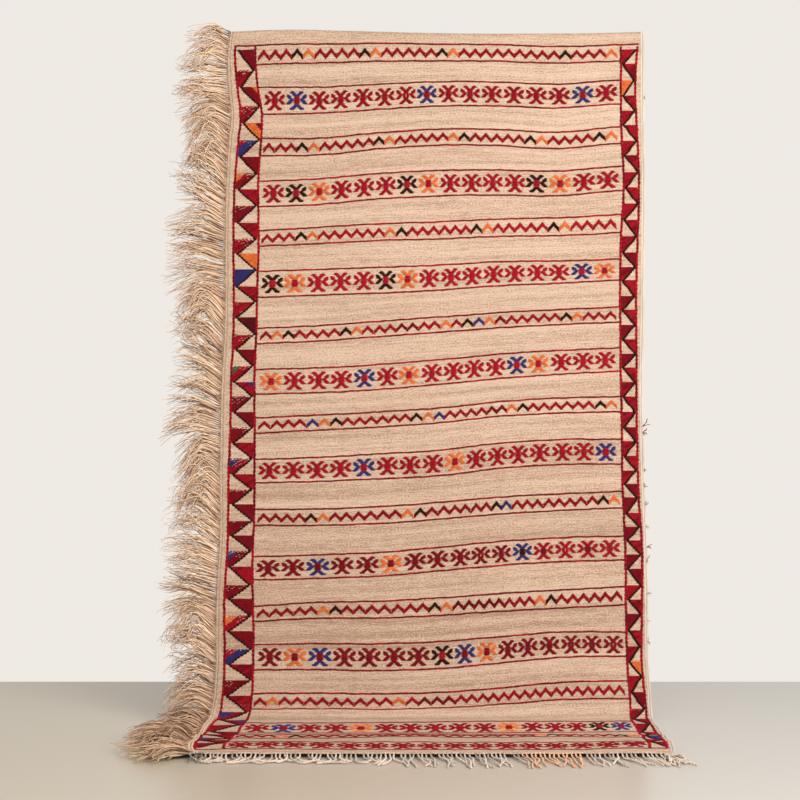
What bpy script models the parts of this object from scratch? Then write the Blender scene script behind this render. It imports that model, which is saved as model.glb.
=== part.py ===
"""Palm straw mat, hung by its top edge with its lower end pooled forward on the floor.

Metres, +Z up. The origin is the centre of the top edge. The patterned face looks along -Y,
the palm fringe is at -X, and the foot runs forward along -Y on the floor at z = -HANG_HEIGHT.
"""
import math
from collections import namedtuple

import bmesh
import bpy
import numpy as np
from mathutils import Vector

# ---------------------------------------------------------------- driving dimensions
HANG_HEIGHT = 2.066        # top edge above the floor
CLOTH_THICKNESS = 0.003
GAP = 0.0003               # between neighbouring pieces
CORD_WIDTH = 0.012         # the two side cords together
CORD_RISE = 0.0032         # half the height of the thicker side cord

ACROSS_STEPS = 20          # quads across the sheet
HANG_TEETH = 48            # fringe clumps above the bend
FOOT_TEETH = 16            # fringe clumps in the bend and on the floor
TEETH = HANG_TEETH + FOOT_TEETH
TOOTH_SHARE = 0.5          # of a clump's pitch that is palm, the rest is open
FRINGE_ROOT = 0.014        # continuous strip next to the sheet
FRINGE_THICKNESS = 0.006
FRINGE_STEPS = 4           # quads along one clump
FRINGE_TIP_SHARE = 0.4     # width of a clump's tip against its root

TASSELS = 34
TASSEL_SHARE = 0.55
TASSEL_ROOT = 0.006
TASSEL_THICKNESS = 0.004
TASSEL_STEPS = 3
TASSEL_LENGTH = 0.112
TASSEL_CORNER_EXTRA = 0.030   # the last ones at the right corner lie further out
TASSEL_CORNER_SPAN = 0.16     # how far from that corner the extra length fades out
TASSEL_LEAN = -0.010          # sideways shift of a tip towards -X

PROFILE_SAMPLES = 1200
NORMAL_STEP = 0.004           # spacing of the differences that give the sheet's normal

# One row for each section of the sheet from the top edge to the front end.
# forward: in front of the top edge; height: above the floor; left, right: the mat's two sides.
Section = namedtuple("Section", "forward height left right")
SECTIONS = [
    Section(0.000, 2.066, -0.633, 0.634),
    Section(0.001, 2.010, -0.641, 0.634),
    Section(0.004, 1.895, -0.639, 0.634),
    Section(0.008, 1.815, -0.632, 0.634),
    Section(0.012, 1.738, -0.638, 0.634),
    Section(0.026, 1.536, -0.646, 0.633),
    Section(0.039, 1.380, -0.646, 0.629),
    Section(0.062, 1.148, -0.646, 0.624),
    Section(0.080, 0.988, -0.653, 0.618),
    Section(0.109, 0.761, -0.654, 0.618),
    Section(0.140, 0.533, -0.651, 0.622),
    Section(0.169, 0.344, -0.658, 0.621),
    Section(0.199, 0.160, -0.657, 0.620),
    Section(0.211, 0.090, -0.661, 0.623),
    Section(0.219, 0.044, -0.666, 0.625),
    Section(0.240, 0.025, -0.669, 0.623),
    Section(0.292, 0.016, -0.676, 0.624),
    Section(0.335, 0.008, -0.683, 0.630),
    Section(0.370, -0.001, -0.686, 0.632),
    Section(0.405, -0.001, -0.686, 0.630),
    Section(0.439, 0.011, -0.685, 0.629),
    Section(0.487, 0.011, -0.685, 0.628),
    Section(0.562, 0.015, -0.688, 0.627),
    Section(0.640, 0.012, -0.679, 0.620),
    Section(0.677, 0.012, -0.661, 0.616),
]

# How the top edge rises and falls across the mat; it fades out down the sheet.
EdgeRise = namedtuple("EdgeRise", "across rise")
TOP_EDGE = [
    EdgeRise(-0.65, 0.004), EdgeRise(-0.45, 0.011), EdgeRise(-0.26, 0.007), EdgeRise(0.02, 0.000),
    EdgeRise(0.32, -0.001), EdgeRise(0.51, 0.001), EdgeRise(0.65, 0.005),
]
TOP_EDGE_FADE = 0.45

# Long shallow waves of the hanging sheet, out of its plane.
Wave = namedtuple("Wave", "rise across_turns down_turns phase")
WAVES = [
    Wave(0.0035, 1.1, 0.5, 0.4),
    Wave(0.0020, 2.3, -0.9, 1.9),
    Wave(0.0015, 0.6, 2.1, 3.1),
]

# Ripples of the foot: centre across the mat, centre down the sheet, half sizes, rise.
Ripple = namedtuple("Ripple", "across drop half_across half_drop rise")
RIPPLES = [
    Ripple(-0.10, 2.335, 0.16, 0.060, 0.006),
    Ripple(-0.46, 2.430, 0.20, 0.060, 0.004),
    Ripple(0.30, 2.330, 0.22, 0.060, 0.004),
    Ripple(0.52, 2.440, 0.14, 0.070, 0.006),
    Ripple(0.10, 2.120, 0.30, 0.035, 0.004),
]

# The palm fringe, by its place down the sheet: length of a clump, its angle to the outward
# direction where it leaves the edge and at its tip, positive towards the top edge.
FringeRow = namedtuple("FringeRow", "drop length root_deg tip_deg")
FRINGE = [
    FringeRow(0.00, 0.160, 22, -50),
    FringeRow(0.20, 0.185, 24, -58),
    FringeRow(0.60, 0.225, 34, -70),
    FringeRow(1.20, 0.210, 36, -72),
    FringeRow(1.70, 0.205, 34, -66),
    FringeRow(1.95, 0.175, 24, -52),
    FringeRow(2.06, 0.180, 8, -24),
    FringeRow(2.20, 0.200, -8, -20),
    FringeRow(2.40, 0.185, -14, -24),
    FringeRow(2.51, 0.160, -20, -28),
]
FRINGE_UNEVEN = 0.10          # how much the clumps' lengths differ

# Half section of the two side cords: outwards from the sheet, and above or below its middle.
CORD_SECTION = [
    (0.000, 0.0015), (0.003, 0.0030), (0.006, 0.0019), (0.009, CORD_RISE), (CORD_WIDTH, 0.0),
    (0.009, -CORD_RISE), (0.006, -0.0019), (0.003, -0.0030), (0.000, -0.0015),
]

# name: linear base colour, roughness, metallic
MATERIALS = {
    "straw_weave": ((0.61, 0.47, 0.33), 0.85, 0.0),
    "palm_fibre": ((0.55, 0.38, 0.25), 0.75, 0.0),
    "warp_yarn": ((0.70, 0.58, 0.42), 0.90, 0.0),
}


# ---------------------------------------------------------------- scene and small helpers
def clear_scene():
    for thing in list(bpy.data.objects):
        bpy.data.objects.remove(thing, do_unlink=True)


def make_material(name):
    colour, roughness, metallic = MATERIALS[name]
    material = bpy.data.materials.new(name)
    material.use_nodes = True
    material.diffuse_color = (*colour, 1.0)
    shader = material.node_tree.nodes["Principled BSDF"]
    shader.inputs["Base Color"].default_value = (*colour, 1.0)
    shader.inputs["Roughness"].default_value = roughness
    shader.inputs["Metallic"].default_value = metallic
    return material


def smooth_curve(knots, values, places):
    """Read values, given at rising knots, at the places, on smooth cubics through every knot."""
    knots = np.asarray(knots, float)
    values = np.asarray(values, float)
    places = np.clip(places, knots[0], knots[-1])
    spans = np.diff(knots)
    slopes = np.diff(values) / spans
    tangents = np.empty_like(values)
    tangents[0], tangents[-1] = slopes[0], slopes[-1]
    tangents[1:-1] = (slopes[:-1] * spans[1:] + slopes[1:] * spans[:-1]) / (spans[1:] + spans[:-1])
    cell = np.clip(np.searchsorted(knots, places, side="right") - 1, 0, len(spans) - 1)
    span = spans[cell]
    t = (places - knots[cell]) / span
    return ((2 * t**3 - 3 * t**2 + 1) * values[cell] + (t**3 - 2 * t**2 + t) * span * tangents[cell]
            + (3 * t**2 - 2 * t**3) * values[cell + 1] + (t**3 - t**2) * span * tangents[cell + 1])


def column(rows, name):
    return [getattr(row, name) for row in rows]


# ---------------------------------------------------------------- the sheet's surface
def measure_profile():
    """Follow the sheet from the top edge to its front end and measure the length along it."""
    forward, height = column(SECTIONS, "forward"), column(SECTIONS, "height")
    knots = np.concatenate([[0.0], np.cumsum(np.hypot(np.diff(forward), np.diff(height)))])
    places = np.linspace(0.0, knots[-1], PROFILE_SAMPLES)
    profile = {name: smooth_curve(knots, column(SECTIONS, name), places)
               for name in Section._fields}
    steps = np.hypot(np.diff(profile["forward"]), np.diff(profile["height"]))
    profile["drop"] = np.concatenate([[0.0], np.cumsum(steps)])
    return profile


PROFILE = measure_profile()
LENGTH = float(PROFILE["drop"][-1])


def read_profile(name, drop):
    return np.interp(drop, PROFILE["drop"], PROFILE[name])


def relief(across, drop):
    """Waves of the hanging part and ripples of the foot, towards the patterned side."""
    hang_share = np.clip(drop / 0.3, 0, 1) * np.clip((2.05 - drop) / 0.3, 0, 1)
    total = 0.0
    for wave in WAVES:
        turn = 2 * math.pi * (wave.across_turns * across + wave.down_turns * drop) + wave.phase
        total += wave.rise * np.sin(turn) * hang_share
    for ripple in RIPPLES:
        reach = ((across - ripple.across) / ripple.half_across) ** 2
        reach += ((drop - ripple.drop) / ripple.half_drop) ** 2
        total += ripple.rise * np.exp(-1.5 * reach)
    return total


def cloth_point(across, drop, lowest=CLOTH_THICKNESS / 2):
    """Middle of the sheet at a place across it (metres from the centre) and down it."""
    forward = read_profile("forward", drop)
    height = read_profile("height", drop)
    step = NORMAL_STEP
    run = read_profile("forward", drop + step) - read_profile("forward", drop - step)
    fall = read_profile("height", drop - step) - read_profile("height", drop + step)
    size = math.hypot(run, fall)
    out = relief(across, drop)
    top_fade = max(0.0, 1 - drop / TOP_EDGE_FADE) ** 2
    rise = top_fade * smooth_curve(column(TOP_EDGE, "across"), column(TOP_EDGE, "rise"), across)
    forward += out * fall / size
    height += out * run / size + rise
    return Vector((across, -forward, max(height, lowest) - HANG_HEIGHT))


def cloth_sides(drop):
    left = float(read_profile("left", drop))
    right = float(read_profile("right", drop)) - CORD_WIDTH - GAP
    return left, right


TOOTH_PITCH = LENGTH / TEETH
# The sheet's rows fall where the fringe's clumps begin and end, so the two edges stay parallel.
ROWS = [2 * TOOTH_PITCH * k for k in range(HANG_TEETH // 2)]
ROWS += [HANG_TEETH * TOOTH_PITCH + TOOTH_SHARE * TOOTH_PITCH * k for k in range(2 * FOOT_TEETH + 1)]


def edge_line(side):
    """Corners of the sheet's edge, one for each row: side 0 is left, side 1 is right."""
    return [cloth_point(cloth_sides(drop)[side], drop) for drop in ROWS]


def on_edge(corners, drop):
    return Vector([float(np.interp(drop, ROWS, [corner[axis] for corner in corners]))
                   for axis in range(3)])


def up_the_sheet(drop):
    """Direction along the sheet towards its top edge."""
    low, high = min(drop + NORMAL_STEP, LENGTH), max(drop - NORMAL_STEP, 0.0)
    return (cloth_point(0.0, high) - cloth_point(0.0, low)).normalized()


# ---------------------------------------------------------------- building solids
def add_object(name, mesh, material):
    thing = bpy.data.objects.new(name, mesh)
    mesh.materials.append(make_material(material))
    bpy.context.scene.collection.objects.link(thing)
    return thing


def sheet_object(name, quads, thickness, material, merge=1e-6):
    """A sheet of quads, each four corner points, given its thickness by Solidify."""
    shape = bmesh.new()
    for quad in quads:
        shape.faces.new([shape.verts.new(corner) for corner in quad])
    bmesh.ops.remove_doubles(shape, verts=shape.verts, dist=merge)
    bmesh.ops.recalc_face_normals(shape, faces=shape.faces)
    mesh = bpy.data.meshes.new(name)
    shape.to_mesh(mesh)
    shape.free()
    thing = add_object(name, mesh, material)
    solidify = thing.modifiers.new("thickness", "SOLIDIFY")
    solidify.thickness = thickness
    solidify.offset = 0.0
    return thing


def grid_quads(grid):
    return [(grid[i][j], grid[i][j + 1], grid[i + 1][j + 1], grid[i + 1][j])
            for i in range(len(grid) - 1) for j in range(len(grid[i]) - 1)]


def build_cloth():
    grid = []
    for drop in ROWS:
        left, right = cloth_sides(drop)
        shares = [step / ACROSS_STEPS for step in range(ACROSS_STEPS + 1)]
        grid.append([cloth_point(left + (right - left) * share, drop) for share in shares])
    return sheet_object("mat_cloth", grid_quads(grid), CLOTH_THICKNESS, "straw_weave")


def fringe_clump(index, root, outwards, upwards, drop):
    """Points down the middle of one clump, from its root to its tip."""
    length = float(smooth_curve(column(FRINGE, "drop"), column(FRINGE, "length"), drop))
    length *= 1 + FRINGE_UNEVEN * math.sin(2.4 * index) * math.cos(0.7 * index)
    first = math.radians(np.interp(drop, column(FRINGE, "drop"), column(FRINGE, "root_deg")))
    last = math.radians(np.interp(drop, column(FRINGE, "drop"), column(FRINGE, "tip_deg")))
    points = [root]
    for step in range(FRINGE_STEPS):
        angle = first + (last - first) * (step + 0.5) / FRINGE_STEPS
        piece = length / FRINGE_STEPS
        points.append(points[-1] + outwards * math.cos(angle) * piece + upwards * math.sin(angle) * piece)
    return points


def build_fringe():
    corners = edge_line(0)
    outwards = Vector((-1, 0, 0))
    lowest = FRINGE_THICKNESS / 2 - HANG_HEIGHT
    half = TOOTH_SHARE * TOOTH_PITCH
    stations = [TOOTH_PITCH * k / 2 for k in range(2 * TEETH + 1)]

    def lifted(point):
        return Vector((point.x, point.y, max(point.z, lowest)))

    inner = [on_edge(corners, drop) + outwards * GAP for drop in stations]
    inner = [lifted(point) for point in inner]
    outer = [lifted(point + outwards * FRINGE_ROOT) for point in inner]
    quads = [(inner[k], inner[k + 1], outer[k + 1], outer[k]) for k in range(2 * TEETH)]
    for tooth in range(TEETH):
        upper, lower = outer[2 * tooth], outer[2 * tooth + 1]
        drop = stations[2 * tooth] + half / 2
        upwards = up_the_sheet(drop)
        path = fringe_clump(tooth, (upper + lower) / 2, outwards, upwards, drop)
        pairs = [(upper, lower)]
        for step in range(1, FRINGE_STEPS + 1):
            width = half * (1 + (FRINGE_TIP_SHARE - 1) * step / FRINGE_STEPS)
            along = (path[step] - path[step - 1]).normalized()
            across = (upwards - along * upwards.dot(along)).normalized() * (width / 2)
            pairs.append((lifted(path[step] + across), lifted(path[step] - across)))
        quads += [(near[0], near[1], far[1], far[0]) for near, far in zip(pairs, pairs[1:])]
    return sheet_object("palm_fringe", quads, FRINGE_THICKNESS, "palm_fibre")


def build_tassels():
    left, right = cloth_sides(LENGTH)
    right += GAP + CORD_WIDTH
    lowest = TASSEL_THICKNESS / 2 - HANG_HEIGHT
    pitch = (right - left) / TASSELS
    forwards = Vector((0, -1, 0))

    def lifted(point):
        return Vector((point.x, point.y, max(point.z, lowest)))

    def root_point(across):
        inside = min(across, right - CORD_WIDTH - GAP)
        point = cloth_point(inside, LENGTH)
        return Vector((across, point.y - GAP - 0.0002, point.z))

    inner, outer, quads = [], [], []
    for tassel in range(TASSELS + 1):
        for share in (0.0, TASSEL_SHARE):
            across = min(left + pitch * (tassel + share), right)
            inner.append(root_point(across))
            outer.append(inner[-1] + forwards * TASSEL_ROOT - Vector((0, 0, 0.0015)))
            if across >= right:
                break
    quads += [(inner[k], inner[k + 1], outer[k + 1], outer[k]) for k in range(len(inner) - 1)]
    for tassel in range(TASSELS):
        first, second = outer[2 * tassel], outer[2 * tassel + 1]
        middle = (first + second) / 2
        corner_share = max(0.0, 1 - (right - middle.x) / TASSEL_CORNER_SPAN)
        length = TASSEL_LENGTH * (1 + 0.12 * math.sin(1.9 * tassel)) + TASSEL_CORNER_EXTRA * corner_share
        lean = TASSEL_LEAN * math.cos(1.3 * tassel) + 0.045 * corner_share**2
        pairs = [(first, second)]
        for step in range(1, TASSEL_STEPS + 1):
            share = step / TASSEL_STEPS
            height = (middle.z - lowest) * (1 - share) ** 2 + lowest
            centre = Vector((middle.x + lean * share, middle.y - (length - TASSEL_ROOT) * share, height))
            width = Vector(((second.x - first.x) / 2 * (1 - 0.35 * share), 0, 0))
            pairs.append((lifted(centre - width), lifted(centre + width)))
        quads += [(near[0], near[1], far[1], far[0]) for near, far in zip(pairs, pairs[1:])]
    return sheet_object("warp_tassels", quads, TASSEL_THICKNESS, "warp_yarn")


def build_side_cord():
    """Two cords side by side, swept down the right edge as one closed body."""
    corners = edge_line(1)
    lowest = CORD_RISE - HANG_HEIGHT
    shape = bmesh.new()
    rings = []
    for drop, corner in zip(ROWS, corners):
        facing = Vector((1, 0, 0)).cross(up_the_sheet(drop)).normalized()
        centre = Vector((corner.x + GAP, corner.y, max(corner.z, lowest)))
        rings.append([shape.verts.new(centre + Vector((out, 0, 0)) + facing * rise)
                      for out, rise in CORD_SECTION])
    count = len(CORD_SECTION)
    for near, far in zip(rings, rings[1:]):
        for k in range(count):
            shape.faces.new([near[k], near[(k + 1) % count], far[(k + 1) % count], far[k]])
    shape.faces.new(rings[0])
    shape.faces.new(list(reversed(rings[-1])))
    bmesh.ops.recalc_face_normals(shape, faces=shape.faces)
    mesh = bpy.data.meshes.new("side_cord")
    shape.to_mesh(mesh)
    shape.free()
    return add_object("side_cord", mesh, "warp_yarn")


def main():
    clear_scene()
    build_cloth()
    build_fringe()
    build_side_cord()
    build_tassels()


main()
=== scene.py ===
# %% [markdown]
# # A palm straw mat with wool rows, hung by its top edge
#
# The mat is one woven sheet of undyed palm straw. Wool yarn is worked into it in rows: thin
# lines, zigzags and eight-armed stars, with a border of triangles down each side. The left
# edge keeps its long raw palm ends, the right edge is finished with two cords, and the lower
# end carries short twisted yarns. It hangs from its top edge and its foot lies on the floor.
#
# The lesson follows the mat's making: first the surface that everything lies on, then the
# ground cloth, then the wool, then the edges. Every wool stitch and every palm strand is real
# geometry, and the fine weave of the ground is in its material.

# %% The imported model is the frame
import math
from collections import namedtuple

import bpy
import numpy as np
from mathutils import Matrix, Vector


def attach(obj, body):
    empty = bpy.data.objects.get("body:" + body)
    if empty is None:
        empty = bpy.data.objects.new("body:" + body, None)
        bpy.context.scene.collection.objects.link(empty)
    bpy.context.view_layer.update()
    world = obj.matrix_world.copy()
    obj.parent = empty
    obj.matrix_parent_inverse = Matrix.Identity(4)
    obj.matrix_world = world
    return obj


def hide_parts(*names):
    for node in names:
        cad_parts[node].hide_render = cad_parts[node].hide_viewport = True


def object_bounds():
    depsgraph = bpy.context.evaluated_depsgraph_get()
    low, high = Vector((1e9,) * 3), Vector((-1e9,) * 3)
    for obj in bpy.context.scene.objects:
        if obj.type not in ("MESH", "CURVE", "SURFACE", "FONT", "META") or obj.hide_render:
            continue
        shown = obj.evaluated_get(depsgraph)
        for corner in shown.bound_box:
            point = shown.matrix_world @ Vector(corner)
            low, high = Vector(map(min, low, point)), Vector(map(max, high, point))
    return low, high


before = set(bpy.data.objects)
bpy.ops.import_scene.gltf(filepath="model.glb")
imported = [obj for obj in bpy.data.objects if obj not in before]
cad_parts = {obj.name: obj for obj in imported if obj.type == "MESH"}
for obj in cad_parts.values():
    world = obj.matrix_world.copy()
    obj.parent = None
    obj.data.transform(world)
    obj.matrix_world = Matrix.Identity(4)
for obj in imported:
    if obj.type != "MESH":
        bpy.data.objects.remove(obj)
cad_low, cad_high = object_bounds()
print("packed nodes:", sorted(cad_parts))


# %% [markdown]
# ## Nodes, and shader maths as expressions
#
# Every node comes from add_node: its settings are set first, then its sockets are filled. A
# material's maths is easier to read as an expression than as a chain of boxes, so a Term wraps
# one number socket, and the usual operators on it add Math nodes. A Finish is one material, with
# a method for each kind of node that these finishes need.


# %% Adding nodes
def plug(tree, value, socket):
    """Puts a Term, another socket or a plain value into a socket."""
    if isinstance(value, Term):
        value = value.socket
    if isinstance(value, bpy.types.NodeSocket):
        tree.links.new(value, socket)
    else:
        socket.default_value = value


def add_node(tree, kind, settings=None, values=None):
    """Adds a node: settings are set first, then sockets by name or number."""
    node = tree.nodes.new(kind)
    for name, value in (settings or {}).items():
        setattr(node, name, value)
    for place, value in (values or {}).items():
        plug(tree, value, node.inputs[place])
    return node


print("made: plug and add_node")


# %% A Term, for sums
class Term:
    def __init__(self, tree, socket):
        self.tree = tree
        self.socket = socket

    def maths(self, operation, *values):
        node = add_node(self.tree, "ShaderNodeMath", {"operation": operation}, dict(enumerate(values)))
        return Term(self.tree, node.outputs[0])

    def __add__(self, other):
        return self.maths("ADD", self, other)

    def __sub__(self, other):
        return self.maths("SUBTRACT", self, other)

    def __mul__(self, other):
        return self.maths("MULTIPLY", self, other)

    def __truediv__(self, other):
        return self.maths("DIVIDE", self, other)

    def __rsub__(self, other):
        return self.maths("SUBTRACT", other, self)

    __radd__ = __add__
    __rmul__ = __mul__

    def sine(self):
        return self.maths("SINE", self)

    def floor(self):
        return self.maths("FLOOR", self)

    def fraction(self):
        return self.maths("FRACT", self)

    def band(self, low, high):
        """0 below low, 1 above high, straight in between."""
        part = (self - low) * (1.0 / (high - low))
        return part.maths("MINIMUM", part.maths("MAXIMUM", part, 0.0), 1.0)


print("made: Term, with + - * / and sine, floor, fraction and band")


# %% A Finish, for one material
class Finish:
    """One material round a Principled shader."""

    def __init__(self, name, roughness, sheen=0.0, specular=0.12):
        self.material = bpy.data.materials.new(name)
        self.material.use_nodes = True
        self.tree = self.material.node_tree
        self.shader = self.tree.nodes["Principled BSDF"]
        self.shader.inputs["Roughness"].default_value = roughness
        self.shader.inputs["Sheen Weight"].default_value = sheen
        self.shader.inputs["Specular IOR Level"].default_value = specular

    def node(self, kind, settings=None, values=None, output=0):
        return Term(self.tree, add_node(self.tree, kind, settings, values).outputs[output])

    def attribute(self, name, output="Color"):
        return self.node("ShaderNodeAttribute", {"attribute_name": name}, output=output)

    def object_place(self):
        return self.node("ShaderNodeTexCoord", output="Object")

    def axes(self, vector):
        node = add_node(self.tree, "ShaderNodeSeparateXYZ", None, {0: vector})
        return [Term(self.tree, socket) for socket in node.outputs]

    def vector(self, x, y, z=0.0):
        return self.node("ShaderNodeCombineXYZ", None, {0: x, 1: y, 2: z})

    def noise(self, vector, detail=2.0, scale=1.0):
        return self.node("ShaderNodeTexNoise", None, {"Vector": vector, "Scale": scale, "Detail": detail})

    def mix(self, share, first, second):
        """Mixes two colours, each a Term or (r, g, b)."""
        first, second = ((*colour, 1.0) if isinstance(colour, tuple) else colour
                         for colour in (first, second))
        return self.node("ShaderNodeMix", {"data_type": "RGBA"},
                         {0: share, 6: first, 7: second}, output=2)

    def colour(self, value):
        plug(self.tree, value, self.shader.inputs["Base Color"])

    def bump(self, height, distance, strength=1.0):
        normal = self.node("ShaderNodeBump", None,
                           {"Height": height, "Distance": distance, "Strength": strength})
        plug(self.tree, normal, self.shader.inputs["Normal"])


print("made: Finish")

# %% [markdown]
# ## Camera and light
#
# The camera looks level and straight along +Y from about five metres, a little left of the
# mat's middle, and low enough to see the foot at a flat angle. The light is soft, as from a
# large window at the right with a paler fill and a bright ceiling, so that the relief of the
# yarn reads but no shadow is hard. The floor is one pale plane with a low polish.

# %% Camera
FLOOR = cad_low.z
CAMERA_HEIGHT = 0.946          # above the floor
CAMERA_AWAY = 5.01             # in front of the top edge
CAMERA_ASIDE = -0.113
LENS_MM = 73.8


def add_object(name, data):
    made = bpy.data.objects.new(name, data)
    bpy.context.scene.collection.objects.link(made)
    return made


camera_data = bpy.data.cameras.new("camera")
camera_data.lens = LENS_MM
camera_data.sensor_width = 36.0
camera = add_object("camera", camera_data)
camera.location = (CAMERA_ASIDE, -CAMERA_AWAY, FLOOR + CAMERA_HEIGHT)
camera.rotation_euler = (math.radians(90), 0, 0)
bpy.context.scene.camera = camera
print("camera at", tuple(round(x, 3) for x in camera.location))

# %% Lamps
bpy.context.scene.view_settings.view_transform = "Standard"
MAT_MIDDLE = (0.0, -0.1, FLOOR / 2)
MAT_FOOT = (0.0, -0.4, FLOOR)


def add_area_light(name, place, target, size, power, colour):
    data = bpy.data.lights.new(name, "AREA")
    data.shape = "SQUARE"
    data.size = size
    data.energy = power
    data.color = colour
    lamp = add_object(name, data)
    lamp.location = place
    lamp.rotation_euler = (Vector(target) - Vector(place)).to_track_quat("-Z", "Y").to_euler()
    lamp.visible_camera = False
    print(name, "lamp,", power, "W")


add_area_light("window", (2.8, -3.8, 0.7), MAT_MIDDLE, 3.0, 225, (1.0, 0.985, 0.96))
add_area_light("fill", (-2.6, -4.8, 0.2), MAT_MIDDLE, 3.0, 30, (1.0, 0.95, 0.89))
add_area_light("ceiling", (0.5, -2.3, 0.3), MAT_FOOT, 2.0, 38, (1.0, 0.98, 0.95))

# %% The pale world
# It is seen pale, by the camera and in the floor's polish, but lights the mat less than it
# looks, so that the lamps shape it.
ROOM_SEEN = (0.86, 0.82, 0.775, 1)
ROOM_LIGHT = 0.55
world = bpy.data.worlds.new("pale room")
world.use_nodes = True
room = world.node_tree
seen = room.nodes["Background"]
seen.inputs["Color"].default_value = ROOM_SEEN
given = add_node(room, "ShaderNodeBackground", None, {"Color": ROOM_SEEN, "Strength": ROOM_LIGHT})
ray = add_node(room, "ShaderNodeLightPath")
either = add_node(room, "ShaderNodeMath", {"operation": "MAXIMUM"}, {
    0: ray.outputs["Is Camera Ray"], 1: ray.outputs["Is Glossy Ray"]})
choice = add_node(room, "ShaderNodeMixShader", None, {
    0: either.outputs[0], 1: given.outputs[0], 2: seen.outputs[0]})
plug(room, choice.outputs[0], room.nodes["World Output"].inputs["Surface"])
bpy.context.scene.world = world
print("world strength", ROOM_LIGHT, "on the mat")

# %% The floor
FLOOR_BEHIND = 0.50            # how far the floor goes on behind the top edge
FLOOR_SIZE = 12.0
FLOOR_SINK = 0.0005            # keeps the floor clear of the yarns that lie on it
FLOOR_LEFT = (0.475, 0.42, 0.325)
FLOOR_RIGHT = (0.475, 0.455, 0.42)

bpy.ops.mesh.primitive_plane_add(
    size=FLOOR_SIZE, location=(0, FLOOR_BEHIND - FLOOR_SIZE / 2, FLOOR - FLOOR_SINK))
floor = bpy.context.object
floor.name = "pale_floor"
floor_finish = Finish("pale floor finish", roughness=0.30, specular=0.7)
from_left = floor_finish.axes(floor_finish.object_place())[0].band(-1.0, 0.9)
floor_finish.colour(floor_finish.mix(from_left, FLOOR_LEFT, FLOOR_RIGHT))
floor.data.materials.append(floor_finish.material)
print("floor", FLOOR_SIZE, "m square at", round(FLOOR, 3))

# %% [markdown]
# ## The surface that everything lies on
#
# A hanging mat is a sheet bent in one main direction, so its shape is a profile, the line it
# follows from the top edge down and out along the floor, plus small waves. Two numbers find
# any place on it: how far across, in metres from the middle, and the drop, the length along
# the cloth from the top edge. One function turns them into a point, and the cloth, each
# stitch, the fringe and the cords all use it, so nothing floats or sinks.

# %% Sections down the mat
HANG_HEIGHT = -FLOOR
CLOTH_THICKNESS = 0.003
CORD_WIDTH = 0.012
GAP = 0.0003
PROFILE_SAMPLES = 1200
NORMAL_STEP = 0.004

# forward: in front of the top edge; height: above the floor; left, right: the mat's two sides.
Section = namedtuple("Section", "forward height left right")
SECTIONS = [
    Section(0.000, 2.066, -0.633, 0.634),
    Section(0.001, 2.010, -0.641, 0.634),
    Section(0.004, 1.895, -0.639, 0.634),
    Section(0.008, 1.815, -0.632, 0.634),
    Section(0.012, 1.738, -0.638, 0.634),
    Section(0.026, 1.536, -0.646, 0.633),
    Section(0.039, 1.380, -0.646, 0.629),
    Section(0.062, 1.148, -0.646, 0.624),
    Section(0.080, 0.988, -0.653, 0.618),
    Section(0.109, 0.761, -0.654, 0.618),
    Section(0.140, 0.533, -0.651, 0.622),
    Section(0.169, 0.344, -0.658, 0.621),
    Section(0.199, 0.160, -0.657, 0.620),
    Section(0.211, 0.090, -0.661, 0.623),
    Section(0.219, 0.044, -0.666, 0.625),
    Section(0.240, 0.025, -0.669, 0.623),
    Section(0.292, 0.016, -0.676, 0.624),
    Section(0.335, 0.008, -0.683, 0.630),
    Section(0.370, -0.001, -0.686, 0.632),
    Section(0.405, -0.001, -0.686, 0.630),
    Section(0.439, 0.011, -0.685, 0.629),
    Section(0.487, 0.011, -0.685, 0.628),
    Section(0.562, 0.015, -0.688, 0.627),
    Section(0.640, 0.012, -0.679, 0.620),
    Section(0.677, 0.012, -0.661, 0.616),
]
print(len(SECTIONS), "sections, from the top edge to the foot")

# %% How uneven the sheet hangs
EdgeRise = namedtuple("EdgeRise", "across rise")
TOP_EDGE = [
    EdgeRise(-0.65, 0.004), EdgeRise(-0.45, 0.011), EdgeRise(-0.26, 0.007), EdgeRise(0.02, 0.000),
    EdgeRise(0.32, -0.001), EdgeRise(0.51, 0.001), EdgeRise(0.65, 0.005),
]
TOP_EDGE_FADE = 0.45

Wave = namedtuple("Wave", "rise across_turns down_turns phase")
WAVES = [
    Wave(0.0035, 1.1, 0.5, 0.4),
    Wave(0.0020, 2.3, -0.9, 1.9),
    Wave(0.0015, 0.6, 2.1, 3.1),
]

Ripple = namedtuple("Ripple", "across drop half_across half_drop rise")
RIPPLES = [
    Ripple(-0.10, 2.335, 0.16, 0.060, 0.006),
    Ripple(-0.46, 2.430, 0.20, 0.060, 0.004),
    Ripple(0.30, 2.330, 0.22, 0.060, 0.004),
    Ripple(0.52, 2.440, 0.14, 0.070, 0.006),
    Ripple(0.10, 2.120, 0.30, 0.035, 0.004),
]
print(len(WAVES), "waves over the hanging part,", len(RIPPLES), "ripples in the foot")


# %% Profile and edges
def column(rows, name):
    return [getattr(row, name) for row in rows]


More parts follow.
